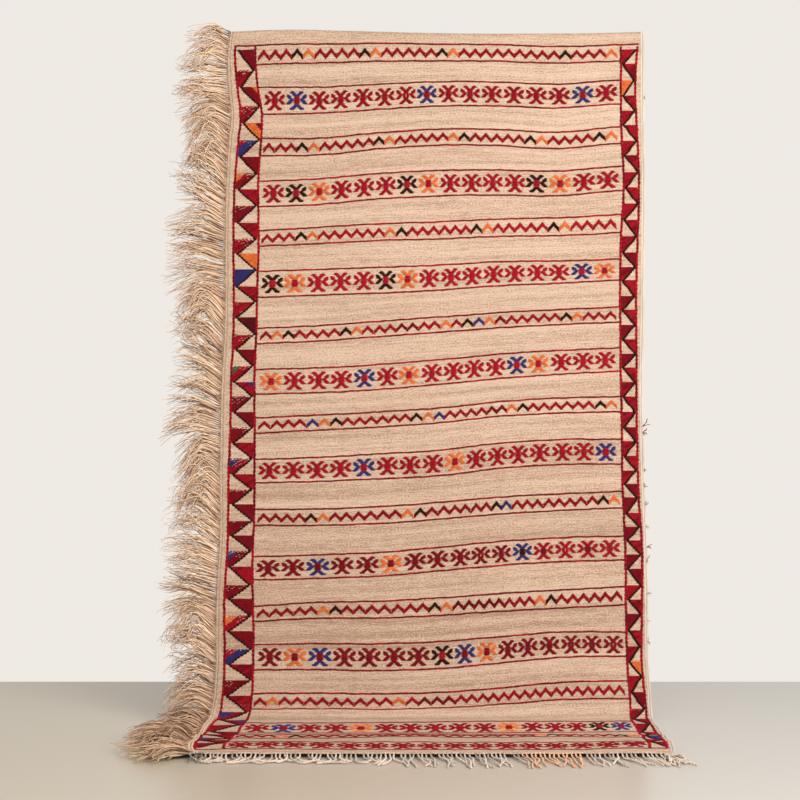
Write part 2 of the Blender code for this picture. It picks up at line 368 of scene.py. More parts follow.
def smooth_curve(knots, values, places):
    """Read values, given at rising knots, at the places, on smooth cubics through every knot."""
    knots = np.asarray(knots, float)
    values = np.asarray(values, float)
    places = np.clip(places, knots[0], knots[-1])
    spans = np.diff(knots)
    slopes = np.diff(values) / spans
    tangents = np.empty_like(values)
    tangents[0], tangents[-1] = slopes[0], slopes[-1]
    tangents[1:-1] = (slopes[:-1] * spans[1:] + slopes[1:] * spans[:-1]) / (spans[1:] + spans[:-1])
    cell = np.clip(np.searchsorted(knots, places, side="right") - 1, 0, len(spans) - 1)
    span = spans[cell]
    t = (places - knots[cell]) / span
    return ((2 * t**3 - 3 * t**2 + 1) * values[cell] + (t**3 - 2 * t**2 + t) * span * tangents[cell]
            + (3 * t**2 - 2 * t**3) * values[cell + 1] + (t**3 - t**2) * span * tangents[cell + 1])


def measure_profile():
    forward, height = column(SECTIONS, "forward"), column(SECTIONS, "height")
    knots = np.concatenate([[0.0], np.cumsum(np.hypot(np.diff(forward), np.diff(height)))])
    places = np.linspace(0.0, knots[-1], PROFILE_SAMPLES)
    profile = {name: smooth_curve(knots, column(SECTIONS, name), places)
               for name in Section._fields}
    steps = np.hypot(np.diff(profile["forward"]), np.diff(profile["height"]))
    profile["drop"] = np.concatenate([[0.0], np.cumsum(steps)])
    return profile


PROFILE = measure_profile()
LENGTH = float(PROFILE["drop"][-1])


def read_profile(name, drop):
    return np.interp(drop, PROFILE["drop"], PROFILE[name])


def left_edge(drop):
    return read_profile("left", drop)


def right_edge(drop):
    """The cloth's own right edge, inside the two cords."""
    return read_profile("right", drop) - CORD_WIDTH - GAP


print(f"the cloth is {LENGTH:.3f} m long and {right_edge(0.5) - left_edge(0.5):.3f} m wide")


# %% Waves, ripples and the weave's own unevenness
FINE_RISE = 0.0008         # small unevenness of the weave itself
FINE_ACROSS, FINE_DOWN = 9.0, 14.0
HANG_END, HANG_FADE = 2.05, 0.3     # the waves fade out towards both ends of the hanging part
RIPPLE_FALL = 1.5


def relief(across, drop):
    hang_share = np.clip(drop / HANG_FADE, 0, 1) * np.clip((HANG_END - drop) / HANG_FADE, 0, 1)
    total = FINE_RISE * np.sin(FINE_ACROSS * across * 2 * math.pi + 3 * np.sin(5 * drop))
    total = total * np.sin(FINE_DOWN * drop * 2 * math.pi + 2 * np.sin(7 * across))
    for wave in WAVES:
        turn = 2 * math.pi * (wave.across_turns * across + wave.down_turns * drop) + wave.phase
        total = total + wave.rise * np.sin(turn) * hang_share
    for ripple in RIPPLES:
        reach = ((across - ripple.across) / ripple.half_across) ** 2
        reach = reach + ((drop - ripple.drop) / ripple.half_drop) ** 2
        total = total + ripple.rise * np.exp(-RIPPLE_FALL * reach)
    return total


print("in its middle the sheet stands", round(float(relief(0.0, 1.0)) * 1000, 1), "mm off its profile")


# %% From (across, drop) to a point
def middle_points(across, drop):
    """Middle of the sheet: (n, 3) points from arrays of places across and down it."""
    across, drop = np.broadcast_arrays(np.asarray(across, float), np.asarray(drop, float))
    forward, height = read_profile("forward", drop), read_profile("height", drop)
    run = read_profile("forward", drop + NORMAL_STEP) - read_profile("forward", drop - NORMAL_STEP)
    fall = read_profile("height", drop - NORMAL_STEP) - read_profile("height", drop + NORMAL_STEP)
    size = np.hypot(run, fall)
    out = relief(across, drop)
    top_fade = np.maximum(0.0, 1 - drop / TOP_EDGE_FADE) ** 2
    rise = top_fade * smooth_curve(column(TOP_EDGE, "across"), column(TOP_EDGE, "rise"), across)
    height = np.maximum(height + out * run / size + rise, CLOTH_THICKNESS / 2)
    return np.stack([across, -(forward + out * fall / size), height - HANG_HEIGHT], axis=-1)


def unit(vectors):
    return vectors / np.maximum(np.linalg.norm(vectors, axis=-1, keepdims=True), 1e-9)


def facing_at(across, drop):
    """The patterned side's normal."""
    step = NORMAL_STEP
    drop = np.clip(drop, step, LENGTH - step)
    sideways = middle_points(across + step, drop) - middle_points(across - step, drop)
    downwards = middle_points(across, drop + step) - middle_points(across, drop - step)
    return unit(np.cross(downwards, sideways))


def face_points(across, drop, lift=0.0, side=1):
    """Points on the patterned side (side 1) or the back (side -1), raised by lift."""
    raised = np.asarray((CLOTH_THICKNESS / 2 + lift) * side)[..., None]
    return middle_points(across, drop) + facing_at(across, drop) * raised


print("the foot's left corner is at", middle_points(left_edge(LENGTH), LENGTH).round(3))

# %% Smooth repeatable unevenness
WANDER_DRAWS = 4096
WANDER_START = 1024        # keeps places left of the middle inside the draws


def ease(part):
    """0 to 1 with a smooth start and end."""
    part = np.clip(part, 0, 1)
    return part * part * (3 - 2 * part)


def wander(places, spacing, seed):
    """A smooth random line between -1 and 1, with a new value every spacing metres."""
    draws = np.random.default_rng(seed).uniform(-1, 1, WANDER_DRAWS)
    place = np.asarray(places, float) / spacing + WANDER_START
    cell = np.floor(place).astype(int) % (WANDER_DRAWS - 1)
    part = ease(place - np.floor(place))
    return draws[cell] * (1 - part) + draws[cell + 1] * part


print("a line that wanders:", wander(np.linspace(0, 0.1, 5), 0.05, 1).round(2))

# %% [markdown]
# ## Where the rows run
#
# The weaver beat the wefts down by hand, so the rows are not straight: most leave the left
# border level, climb across the middle and flatten out again. Each pattern row therefore
# says where it starts at the left border, how tall it is at three places, how far it has
# climbed at six places across, and how far its motifs have slid along from an even spacing at
# five places. The chart strings give each motif's dye from left to right, and each star's
# heart, where a small letter is one coloured dot in a heart of the star's own dye.

# %% Pattern rows
# Lengths in millimetres. top_left is the drop of the upper line at the left border, and depth
# is how bright the skein of wool was that this row was woven with.
PatternRow = namedtuple("PatternRow", "kind depth top_left heights climbs slides dyes hearts")
ALL_RED = "R" * 16
PATTERN = [
    PatternRow("zigzag", 0.78, 44, (57, 52, 50), (4, 11, 13, 13, 7, 11), (0, 0, -5, -8, -3),
               "RRRKORRRRKORRRRRKORRRRRRRRRKRRRO", ""),
    PatternRow("star", 0.76, 169, (81, 75, 73), (2, 14, 23, 23, 17, 29), (6, 3, -8, -14, -2),
               "RBRRRRRBRRRRRRBR", "RRRRRRoRRRRRRRRR"),
    PatternRow("zigzag", 0.78, 323, (53, 49, 51), (1, 19, 29, 28, 21, 36), (0, 0, -11, -16, -4),
               "RRRKORRRRRKORRRRROKRRRRRKORRRRKO", ""),
    PatternRow("star", 0.90, 454, (79, 78, 75), (7, 23, 32, 34, 33, 47), (5, 8, -5, -18, -5),
               "RKORRRKORRRRKORR", ALL_RED),
    PatternRow("zigzag", 1.00, 606, (48, 52, 56), (9, 18, 24, 32, 36, 44), (0, 2, -3, -12, -8),
               "RRRKORRRRRROKRRRRRRKORRRRRKORRRR", ""),
    PatternRow("star", 1.03, 731, (80, 77, 64), (6, 11, 20, 32, 37, 44), (3, 10, 4, -8, -8),
               "KORRRKORRRRRRRBO", ALL_RED),
    PatternRow("zigzag", 0.90, 906, (47, 46, 46), (8, 21, 35, 49, 58, 65), (2, 7, 6, 0, -4),
               "ROKRRRRKORRRDDRRORKBODRRRRRKORRR", ""),
    PatternRow("star", 1.00, 1031, (75, 75, 71), (4, 15, 30, 48, 59, 67), (10, 18, 14, -1, -7),
               "ORRRBRORRRRBORRR", ALL_RED),
    PatternRow("zigzag", 0.88, 1178, (46, 45, 45), (9, 19, 31, 51, 60, 64), (3, 17, 20, 0, -4),
               "RRRRBOKRRRRRRKOBRRRRDDOKRRRRRRKO", ""),
    PatternRow("star", 0.88, 1303, (70, 76, 74), (5, 15, 25, 47, 57, 58), (2, 14, 17, 0, -9),
               "RRRRBRRRORRRRRRB", ALL_RED),
    PatternRow("zigzag", 0.70, 1453, (47, 50, 49), (1, 8, 21, 36, 46, 53), (2, 14, 32, 9, -1),
               "RRRRKORRRRRROKRRRRRRKBRRRRRRRRKO", ""),
    PatternRow("star", 0.95, 1592, (69, 70, 71), (5, 12, 28, 44, 55, 59), (3, 24, 31, 5, -7),
               "DDBDDODDDDDBRRRR", "DDDDDDDDDoDKDoDk"),
    PatternRow("zigzag", 0.75, 1738, (44, 51, 53), (10, 12, 21, 33, 43, 52), (3, 16, 38, 10, -3),
               "RRRRROKRRRRRRRKODDDDDRRROKRRRRRR", ""),
    PatternRow("star", 0.98, 1850, (74, 78, 71), (2, 0, 7, 22, 37, 38), (5, 27, 41, 18, -3),
               "DOBDDDDKBODDDDDD", "DDDDDDDRDDDDDbko"),
    PatternRow("zigzag", 0.92, 1992, (46, 46, 51), (1, -1, 4, 16, 31, 34), (-2, 20, 43, 21, -3),
               "RORRRRRRRRRORDDDRRRRRRRRRRRRRRRR", ""),
    PatternRow("star", 0.68, 2120, (77, 77, 77), (0, 0, 0, 4, 10, 16), (4, 24, 28, 22, -5),
               "RBRRORRRRRORRRKB", ALL_RED),
    PatternRow("zigzag", 0.62, 2267, (48, 48, 48), (0, 0, 0, 2, 6, 10), (0, 15, 28, 20, -4),
               "RRROKRRRRRRRRRRRRRRRRRROKRRRRRKO", ""),
    PatternRow("star", 0.62, 2391, (77, 77, 77), (0, 0, 0, 0, 0, 0), (0, 10, 15, 5, 0),
               ALL_RED, ALL_RED),
]
print(len(PATTERN), "pattern rows,", sum(len(row.dyes) for row in PATTERN), "motifs")

# %% Reading a row
CLIMB_PLACES = (-0.53, -0.35, -0.17, 0.01, 0.19, 0.37, 0.54)
HEIGHT_PLACES = (-0.53, 0.0, 0.54)
SLIDE_PLACES = (0, 0.25, 0.5, 0.75, 1)
MM = 0.001


def row_climb(row, across):
    return smooth_curve(CLIMB_PLACES, (0, *row.climbs), across) * MM


def row_height(row, across):
    return smooth_curve(HEIGHT_PLACES, row.heights, across) * MM


def row_drop(row, across, share):
    """The drop at a place across a row: share 0 is its upper line and 1 its lower line."""
    centre = (row.top_left + row.heights[0] / 2) * MM - row_climb(row, across)
    return centre + (share - 0.5) * row_height(row, across)


print("the rows climb", round(max(max(row.climbs) for row in PATTERN)), "mm at most")

# %% The wefts' own measure
WEFT_ROUNDS = 4            # a weft's climb depends on which weft it is, so it is found in rounds


def weft_measure(across, drop):
    """Which weft passes here, as the drop at which it left the left border."""
    centres = [(row.top_left + row.heights[0] / 2) * MM for row in PATTERN]
    starts = np.array([0.0, *centres, LENGTH])
    level = np.zeros_like(across)
    climbs = np.stack([level, *(row_climb(row, across) for row in PATTERN), level])
    weft = np.array(drop, float)
    for _ in range(WEFT_ROUNDS):
        cell = np.clip(np.searchsorted(starts, weft, side="right") - 1, 0, len(starts) - 2)
        part = np.clip((weft - starts[cell]) / (starts[cell + 1] - starts[cell]), 0, 1)
        pick = np.arange(len(weft))
        climb = climbs[cell, pick] * (1 - part) + climbs[cell + 1, pick] * part
        weft = drop + climb
    return weft


print("the weft at 1.5 m down the middle begins at", weft_measure(np.zeros(1), np.full(1, 1.5)).round(3))

# %% [markdown]
# ## The ground cloth
#
# The ground is a weft-faced plain weave: thin straw wefts packed over stiffer warps, so the
# face shows fine level threads, each a slightly different straw tone, with faint upright
# ribs where the warps lie. The cloth is a grid with Solidify. Its own UV map holds metres
# across and the weft measure down, so threads in the material follow the rows as they climb.

# %% Meshes and pieces
def mesh_from(name, points, faces):
    mesh = bpy.data.meshes.new(name)
    mesh.from_pydata([tuple(p) for p in points], [], faces)
    mesh.update()
    return mesh


def link_piece(name, mesh, material):
    piece = add_object(name, mesh)
    piece.data.materials.clear()
    piece.data.materials.append(material)
    return piece


print("made: mesh_from and link_piece")

# %% The cloth mesh
ACROSS_CELLS = 108
DOWN_CELLS = 206


def build_cloth(material):
    drops = np.linspace(0, LENGTH, DOWN_CELLS + 1)
    shares = np.linspace(0, 1, ACROSS_CELLS + 1)
    drop = np.repeat(drops, len(shares))
    share = np.tile(shares, len(drops))
    across = left_edge(drop) * (1 - share) + right_edge(drop) * share
    points = middle_points(across, drop)
    wide = len(shares)
    faces = [(i * wide + j, (i + 1) * wide + j, (i + 1) * wide + j + 1, i * wide + j + 1)
             for i in range(DOWN_CELLS) for j in range(ACROSS_CELLS)]
    mesh = mesh_from("mat_sheet", points, faces)
    weft = weft_measure(across, drop)
    layer = mesh.uv_layers.new(name="weft")
    corners = np.empty(len(mesh.loops), int)
    mesh.loops.foreach_get("vertex_index", corners)
    layer.data.foreach_set("uv", np.stack([across[corners], weft[corners]], axis=1).ravel())
    mesh.shade_smooth()
    piece = link_piece("mat_sheet", mesh, material)
    solidify = piece.modifiers.new("thickness", "SOLIDIFY")
    solidify.thickness = CLOTH_THICKNESS
    solidify.offset = 0.0
    return piece


print("a cell of the cloth is", round(LENGTH / DOWN_CELLS * 1000, 1), "mm tall")

# %% The straw's tones
THREAD = 0.0021           # height of one weft
RIB = 0.0062              # spacing of the warps' ribs
STRAW_LIGHT = (0.69, 0.505, 0.38)
STRAW_MIDDLE = (0.545, 0.37, 0.265)
STRAW_DARK = (0.34, 0.21, 0.135)
STRAW_SPECK = (0.22, 0.12, 0.07)
# Some stretches were woven with browner straw: from and to which drop, and how much browner.
BrownStretch = namedtuple("BrownStretch", "top end amount")
BROWN_STRETCHES = [
    BrownStretch(0.35, 0.45, 0.07), BrownStretch(1.31, 1.43, 0.12), BrownStretch(1.48, 1.72, 0.08),
    BrownStretch(1.74, 1.88, 0.18),
]
STRETCH_FADE = 0.03
LOWER_DARKENING = 0.05       # the straw is this much darker and browner at the bottom than at the top
# Layers of unevenness in the straw's tone. across and down say how fine a layer is, in noise
# cells a metre, and amount how much it counts.
ToneLayer = namedtuple("ToneLayer", "across down offset detail amount")
TONE_LAYERS = [
    ToneLayer(30.0, 260.0, 5.0, 2.0, 1.0),      # single straws
    ToneLayer(0.9, 55.0, 0.0, 3.0, 1.2),        # bunches of straw, a few wefts at a time
    ToneLayer(5.0, 7.0, 3.0, 2.0, 0.25),        # clouds
]
THREAD_AMOUNT, FLECK_AMOUNT, RIB_AMOUNT = 0.8, 2.2, 0.07
MIDDLE_TONE = 0.58
print(len(TONE_LAYERS), "layers of tone and", len(BROWN_STRETCHES), "brown stretches")


# %% The straw finish
def straw_finish():
    finish = Finish("straw weave", roughness=0.85, sheen=0.05)
    across, weft, _ = finish.axes(finish.node("ShaderNodeUVMap", {"uv_map": "weft"}))
    thread = (weft / THREAD).floor()
    thread_tone = finish.noise(finish.vector(across * 8.0, thread * 7.31), detail=1.0)
    rib = (across * (2 * math.pi / RIB) + thread * math.pi).sine()
    fleck = finish.noise(finish.vector(across * 190.0, weft / THREAD * 0.8), detail=1.0)
    level = (thread_tone - 0.5) * THREAD_AMOUNT + (fleck - 0.5) * FLECK_AMOUNT
    for layer in TONE_LAYERS:
        place = finish.vector(across * layer.across, weft * layer.down, layer.offset)
        level = level + (finish.noise(place, layer.detail) - 0.5) * layer.amount
    level = level + rib * RIB_AMOUNT
    browner = weft.band(0.9, 2.0) * LOWER_DARKENING
    for stretch in BROWN_STRETCHES:
        begun = weft.band(stretch.top, stretch.top + STRETCH_FADE)
        ended = weft.band(stretch.end - STRETCH_FADE, stretch.end)
        browner = browner + begun * (1 - ended) * stretch.amount
    tone = (level + MIDDLE_TONE - browner).band(0.0, 1.0)
    base = finish.mix(tone.band(0.0, 0.55), STRAW_DARK, STRAW_MIDDLE)
    base = finish.mix(tone.band(0.4, 1.0), base, STRAW_LIGHT)
    speck = finish.noise(finish.vector(across * 210.0, weft * 330.0), detail=1.0)
    base = finish.mix(speck.band(0.70, 0.76) * 0.55, base, STRAW_SPECK)
    finish.colour(base)
    thread_bow = ((weft / THREAD).fraction() * math.pi).sine()
    finish.bump(thread_bow * 0.5 + rib * 0.45 + fleck * 0.9, distance=0.0012, strength=0.9)
    return finish.material


STRAW = straw_finish()
print("straw finish:", len(STRAW.node_tree.nodes), "nodes")

# %% Making the cloth
mat_sheet = build_cloth(STRAW)
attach(mat_sheet, "root")
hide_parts("mat_cloth")
print("cloth grid:", len(mat_sheet.data.polygons), "quads before its thickness")

# %% [markdown]
# ## One stitch, laid thousands of times
#
# Every wool figure is made of short weft floats, each passing over a few warps. A float is
# one small pillow with pointed ends. Its places are computed here as two ends on the mat,
# and a Geometry Nodes tree then lays the pillow on each place, turned along its yarn and
# flat on the cloth, stretched to its length, width and rise, and carries its dye along as an
# attribute. Instances are made real at the end, because an exported model can't keep them.

# %% The pillow
def make_pillow():
    points = [(-0.5, 0, 0.1), (-0.27, -0.5, 0), (-0.27, 0, 1), (-0.27, 0.5, 0),
              (0.27, -0.5, 0), (0.27, 0, 1), (0.27, 0.5, 0), (0.5, 0, 0.1)]
    faces = [(0, 1, 2), (0, 2, 3), (0, 3, 1), (1, 4, 5, 2), (2, 5, 6, 3), (3, 6, 4, 1),
             (7, 5, 4), (7, 6, 5), (7, 4, 6)]
    mesh = mesh_from("pillow", points, faces)
    mesh.shade_smooth()
    return add_object("pillow", mesh)


PILLOW = make_pillow()
print("one stitch has", len(PILLOW.data.polygons), "faces")


# %% Starting and ending a tree
def named_attribute(tree, name, data_type):
    return add_node(tree, "GeometryNodeInputNamedAttribute", {"data_type": data_type},
                    {"Name": name}).outputs["Attribute"]


def new_tree(name, inputs):
    """An empty Geometry Nodes tree with named inputs, and its Group Input node."""
    tree = bpy.data.node_groups.new(name, "GeometryNodeTree")
    for label, kind in (("Geometry", "Geometry"), *inputs.items()):
        tree.interface.new_socket(label, in_out="INPUT", socket_type="NodeSocket" + kind)
    tree.interface.new_socket("Geometry", in_out="OUTPUT", socket_type="NodeSocketGeometry")
    return tree, add_node(tree, "NodeGroupInput")


def end_tree(tree, geometry, material):
    """The end of every tree here: instances made real, and one material."""
    real = add_node(tree, "GeometryNodeRealizeInstances", None, {"Geometry": geometry})
    dyed = add_node(tree, "GeometryNodeSetMaterial", None, {
        "Geometry": real.outputs[0], "Material": material})
    add_node(tree, "NodeGroupOutput", None, {"Geometry": dyed.outputs[0]})
    return tree


print("made: named_attribute, new_tree and end_tree")


# %% The tree that lays stitches
def stitch_tree():
    """Lays the pillow object on each point of a mesh that holds along, facing and size."""
    tree, start = new_tree("lay stitches", {"Pillow": "Object", "Fullness": "Float", "Wool": "Material"})
    pillow = add_node(tree, "GeometryNodeObjectInfo", None, {"Object": start.outputs["Pillow"]})
    turn = add_node(tree, "FunctionNodeAxesToRotation", {"primary_axis": "X", "secondary_axis": "Z"}, {
        "Primary Axis": named_attribute(tree, "along", "FLOAT_VECTOR"),
        "Secondary Axis": named_attribute(tree, "facing", "FLOAT_VECTOR")})
    fuller = add_node(tree, "ShaderNodeCombineXYZ", None, {0: 1.0, 1: 1.0, 2: start.outputs["Fullness"]})
    size = add_node(tree, "ShaderNodeVectorMath", {"operation": "MULTIPLY"}, {
        0: named_attribute(tree, "size", "FLOAT_VECTOR"), 1: fuller.outputs[0]})
    points = add_node(tree, "GeometryNodeMeshToPoints", None, {"Mesh": start.outputs["Geometry"]})
    laid = add_node(tree, "GeometryNodeInstanceOnPoints", None, {
        "Points": points.outputs[0], "Instance": pillow.outputs["Geometry"],
        "Rotation": turn.outputs[0], "Scale": size.outputs[0]})
    return end_tree(tree, laid.outputs[0], start.outputs["Wool"])


STITCH_TREE = stitch_tree()
print("stitch tree:", len(STITCH_TREE.nodes), "nodes")


# %% Running a tree
def socket_id(tree, name):
    return next(item.identifier for item in tree.interface.items_tree
                if item.item_type == "SOCKET" and item.in_out == "INPUT" and item.name == name)


def write_attribute(mesh, name, kind, values):
    layer = mesh.attributes.new(name, kind, "POINT")
    field = {"FLOAT": "value", "FLOAT_VECTOR": "vector", "FLOAT_COLOR": "color"}[kind]
    layer.data.foreach_set(field, np.asarray(values).astype(np.float32).ravel())


def run_tree(name, mesh, tree, material, inputs):
    """Runs a tree on a mesh and returns its evaluated result as a plain mesh piece."""
    source = add_object(name + "_source", mesh)
    modifier = source.modifiers.new(tree.name, "NODES")
    modifier.node_group = tree
    for label, value in inputs.items():
        modifier[socket_id(tree, label)] = value
    graph = bpy.context.evaluated_depsgraph_get()
    mesh = bpy.data.meshes.new_from_object(source.evaluated_get(graph))
    mesh.name = name
    bpy.data.objects.remove(source)
    return link_piece(name, mesh, material)


print("the stitch tree's fullness is", socket_id(STITCH_TREE, "Fullness"))

# %% [markdown]
# ## Dyes and the wool finish
#
# The wool is a deep madder red that varies from skein to skein, a darker red, a brown black,
# orange, indigo and a little green. Each stitch carries its own colour, slightly uneven, and
# the finish adds the yarn's fibres: fine streaks in the colour and a twisted bump.

# %% Dyes
DYES = {
    "R": (0.42, 0.0075, 0.023),
    "D": (0.23, 0.005, 0.014),
    "M": (0.11, 0.007, 0.014),
    "K": (0.012, 0.008, 0.005),
    "O": (0.84, 0.21, 0.05),
    "B": (0.018, 0.038, 0.185),
    "G": (0.035, 0.14, 0.07),
    "C": (0.76, 0.60, 0.455),
    "N": (0.13, 0.055, 0.03),
    "Y": (0.20, 0.185, 0.17),
}
print(len(DYES), "dyes")


# %% The wool finish
def wool_finish():
    finish = Finish("dyed wool", roughness=0.95, specular=0.04)
    dye = finish.attribute("dye")
    place = finish.object_place()
    fibres = finish.noise(place, scale=900.0)
    patches = finish.noise(place, scale=60.0)
    shade = (fibres - 0.5) * 0.9 + (patches - 0.5) * 0.6 + 0.5
    darker = finish.mix(0.40, dye, (0.012, 0.002, 0.002))
    lighter = finish.mix(0.05, dye, (0.90, 0.14, 0.12))
    finish.colour(finish.mix(shade.band(0.1, 0.9), darker, lighter))
    finish.bump(fibres, distance=0.0006, strength=0.7)
    return finish.material


WOOL = wool_finish()
print("wool finish:", len(WOOL.node_tree.nodes), "nodes")

# %% Collecting stitches
UNEVEN_SIZE = 0.12


class Stitches:
    """Stitches of one piece. Each has two ends (across, drop), a width, a rise and a dye."""

    def __init__(self, seed):
        self.rows = []
        self.random = np.random.default_rng(seed)

    def add(self, start, end, width, rise, dye, lift=0.0, depth=1.0, side=1):
        """side is 1 on the patterned side and -1 on the back."""
        colour = [depth * part for part in DYES[dye]]
        self.rows.append((*start, *end, width, rise, lift, side, *colour))

    def add_level(self, middle, half, drop, width, rise, dye, **more):
        """A float straight across the mat."""
        self.add((middle - half, drop), (middle + half, drop), width, rise, dye, **more)

    def add_in_row(self, row, share, ends, width, rise, dye, wobble=0.0, **more):
        """A float that follows a row, at a share of its height."""
        drops = row_drop(row, ends, share) + wobble
        self.add((ends[0], drops[0]), (ends[1], drops[1]), width, rise, dye, **more)

    def lay(self, name, uneven=0.16, material=WOOL):
        rows = np.array(self.rows)
        starts = face_points(rows[:, 0], rows[:, 1], rows[:, 6], rows[:, 7])
        ends = face_points(rows[:, 2], rows[:, 3], rows[:, 6], rows[:, 7])
        along = ends - starts
        facing = facing_at((rows[:, 0] + rows[:, 2]) / 2, (rows[:, 1] + rows[:, 3]) / 2) * rows[:, 7:8]
        length = np.linalg.norm(along, axis=1)
        size = np.stack([length, rows[:, 4], rows[:, 5]], axis=1)
        size[:, 1:] *= 1 + self.random.uniform(-UNEVEN_SIZE, UNEVEN_SIZE, (len(rows), 2))
        shade = 1 + self.random.uniform(-uneven, uneven, (len(rows), 1))
        dye = np.concatenate([np.clip(rows[:, 8:11] * shade, 0, 1), np.ones((len(rows), 1))], axis=1)
        mesh = mesh_from(name + "_places", (starts + ends) / 2, [])
        for label, values in (("along", along), ("facing", facing), ("size", size)):
            write_attribute(mesh, label, "FLOAT_VECTOR", values)
        write_attribute(mesh, "dye", "FLOAT_COLOR", dye)
        piece = run_tree(name, mesh, STITCH_TREE, material, {
            "Pillow": PILLOW, "Fullness": 1.0, "Wool": material})
        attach(piece, "root")
        print(f"{name}: {len(rows)} stitches, {len(piece.data.polygons)} faces")
        return piece


print("made: Stitches")

# %% [markdown]
# ## The borders' lines
#
# Each border runs between two upright red lines. Their distance from the mat's edge changes a
# little on the way down, because the weaver's hand did. The same tables also bound the rows.

# %% Border lines
# Distances in millimetres from the mat's edge to the border's outer and inner line.
ROW_HALF = 0.55             # about where, across the mat, the rows meet the borders
BorderPlace = namedtuple("BorderPlace", "drop left_outer left_inner right_inner right_outer")
BORDER = [
    BorderPlace(0.04, 24, 85, 72, 22),
    BorderPlace(0.17, 30, 92, 73, 29),
    BorderPlace(0.31, 33, 101, 72, 24),
    BorderPlace(0.45, 29, 100, 66, 20),
    BorderPlace(0.62, 28, 104, 73, 23),
    BorderPlace(0.83, 30, 100, 74, 26),
    BorderPlace(1.02, 31, 101, 69, 22),
    BorderPlace(1.20, 33, 106, 66, 21),
    BorderPlace(1.40, 28, 106, 69, 22),
    BorderPlace(1.60, 27, 103, 67, 18),
    BorderPlace(1.75, 27, 112, 67, 20),
    BorderPlace(1.90, 29, 113, 65, 23),
    BorderPlace(2.05, 30, 116, 65, 19),
    BorderPlace(2.20, 22, 112, 67, 20),
    BorderPlace(2.48, 22, 98, 66, 20),
]


def border_line(name, drop):
    inset = smooth_curve(column(BORDER, "drop"), column(BORDER, name), drop) * MM
    if name.startswith("left"):
        return left_edge(drop) + inset
    return read_profile("right", drop) - inset


def row_span(row, share, left="left_inner", right="right_inner"):
    """Where a row starts and ends across the mat, at a share of its height."""
    return (border_line(left, row_drop(row, -ROW_HALF, share)),
            border_line(right, row_drop(row, ROW_HALF, share)))


def motif_edges(row, count, gap):
    """The places across a row at which each motif begins and the last one ends."""
    first, last = row_span(row, 0.5)
    first, last = first + gap, last - gap
    shares = np.linspace(0, 1, count + 1)
    return first + (last - first) * shares + smooth_curve(SLIDE_PLACES, row.slides, shares) * MM


PATTERN_TOP = PATTERN[0].top_left * MM
PATTERN_END = (PATTERN[-1].top_left + PATTERN[-1].heights[0]) * MM
print(f"the pattern runs from {PATTERN_TOP:.3f} to {PATTERN_END:.3f} m down the cloth")

# %% [markdown]
# ## Row lines
#
# A thin red line runs above and below every row. Two yarns are twined round the warps, which
# shows as a chain of short slanting stitches. The first and the last line are longer: they
# close the borders too.

# %% Laying the row lines
LINE_STEP = 0.0068
LINE_WIDTH = 0.0054
LINE_RISE = 0.0017
LINE_OVERLAP = 0.0016
LINE_SLANT = 0.0010
LINE_WOBBLE = 0.0011


def line_wobble(places, seed):
    return LINE_WOBBLE * wander(places, 0.016, seed)


def lay_row_lines():
    stitches = Stitches(seed=11)
    for number, row in enumerate(PATTERN):
        for share in (0.0, 1.0):
            outermost = (number == 0 and share == 0) or (number == len(PATTERN) - 1 and share == 1)
            borders = ("left_outer", "right_outer") if outermost else ("left_inner", "right_inner")
            first, last = row_span(row, share, *borders)
            seed = 100 + 2 * number + int(share)
            for across in np.arange(first, last - LINE_STEP / 2, LINE_STEP):
                ends = np.array([across - LINE_OVERLAP, across + LINE_STEP + LINE_OVERLAP])
                slant = np.array([LINE_SLANT, -LINE_SLANT])
                dye = "D" if wander(across, 0.03, seed + 50) > -0.45 else "R"
                stitches.add_in_row(row, share, ends, LINE_WIDTH, LINE_RISE, dye,
                                    line_wobble(ends, seed) + slant, depth=row.depth)
    return stitches.lay("row_lines")


row_lines = lay_row_lines()

# %% [markdown]
# ## Zigzag rows
#
# A zigzag is built weft by weft: each pass moves the float a step outwards from the peak, so
# two legs grow down and meet the next pair in the valley.

# %% One chevron
PEAKS = 32
ROW_END_GAP = 0.009         # between the border's line and the first motif
ZIGZAG_TOP = 0.22           # shares of the row's height
ZIGZAG_BOTTOM = 0.81
ZIGZAG_PASSES = 13
PASS_OVERLAP = 1.25         # a float is wider than its pass, so that no straw shows between two
LEG_SHARE = 0.45            # a leg's thickness, measured downwards, as a share of the zigzag
FLOAT_END = 0.0016          # added at both ends of a float, because they are pointed
FLOAT_WOBBLE = 0.0008
PEAK_WOBBLE = 0.0012
PEAK_RAISE = 0.03           # how far a peak stands above or below its row, in row heights
YARN_RISE = 0.0017


def leg_floats(part, pitch):
    """(from, to) of each float of one chevron at a share of its height, from its middle."""
    run = pitch / 2 / (1 - LEG_SHARE)
    outer = min(part * run, pitch / 2)
    inner = (part - LEG_SHARE) * run
    if inner <= 0:
        return [(-outer, outer)]
    return [(-outer, -inner), (inner, outer)]


print("a chevron's middle pass, on a pitch of 1:", np.round(leg_floats(0.5, 1.0), 2).tolist())


# %% Laying the zigzags
def dye_depth(row, dye):
    """Only the reds differ from skein to skein."""
    return row.depth if dye in "RD" else 1.0


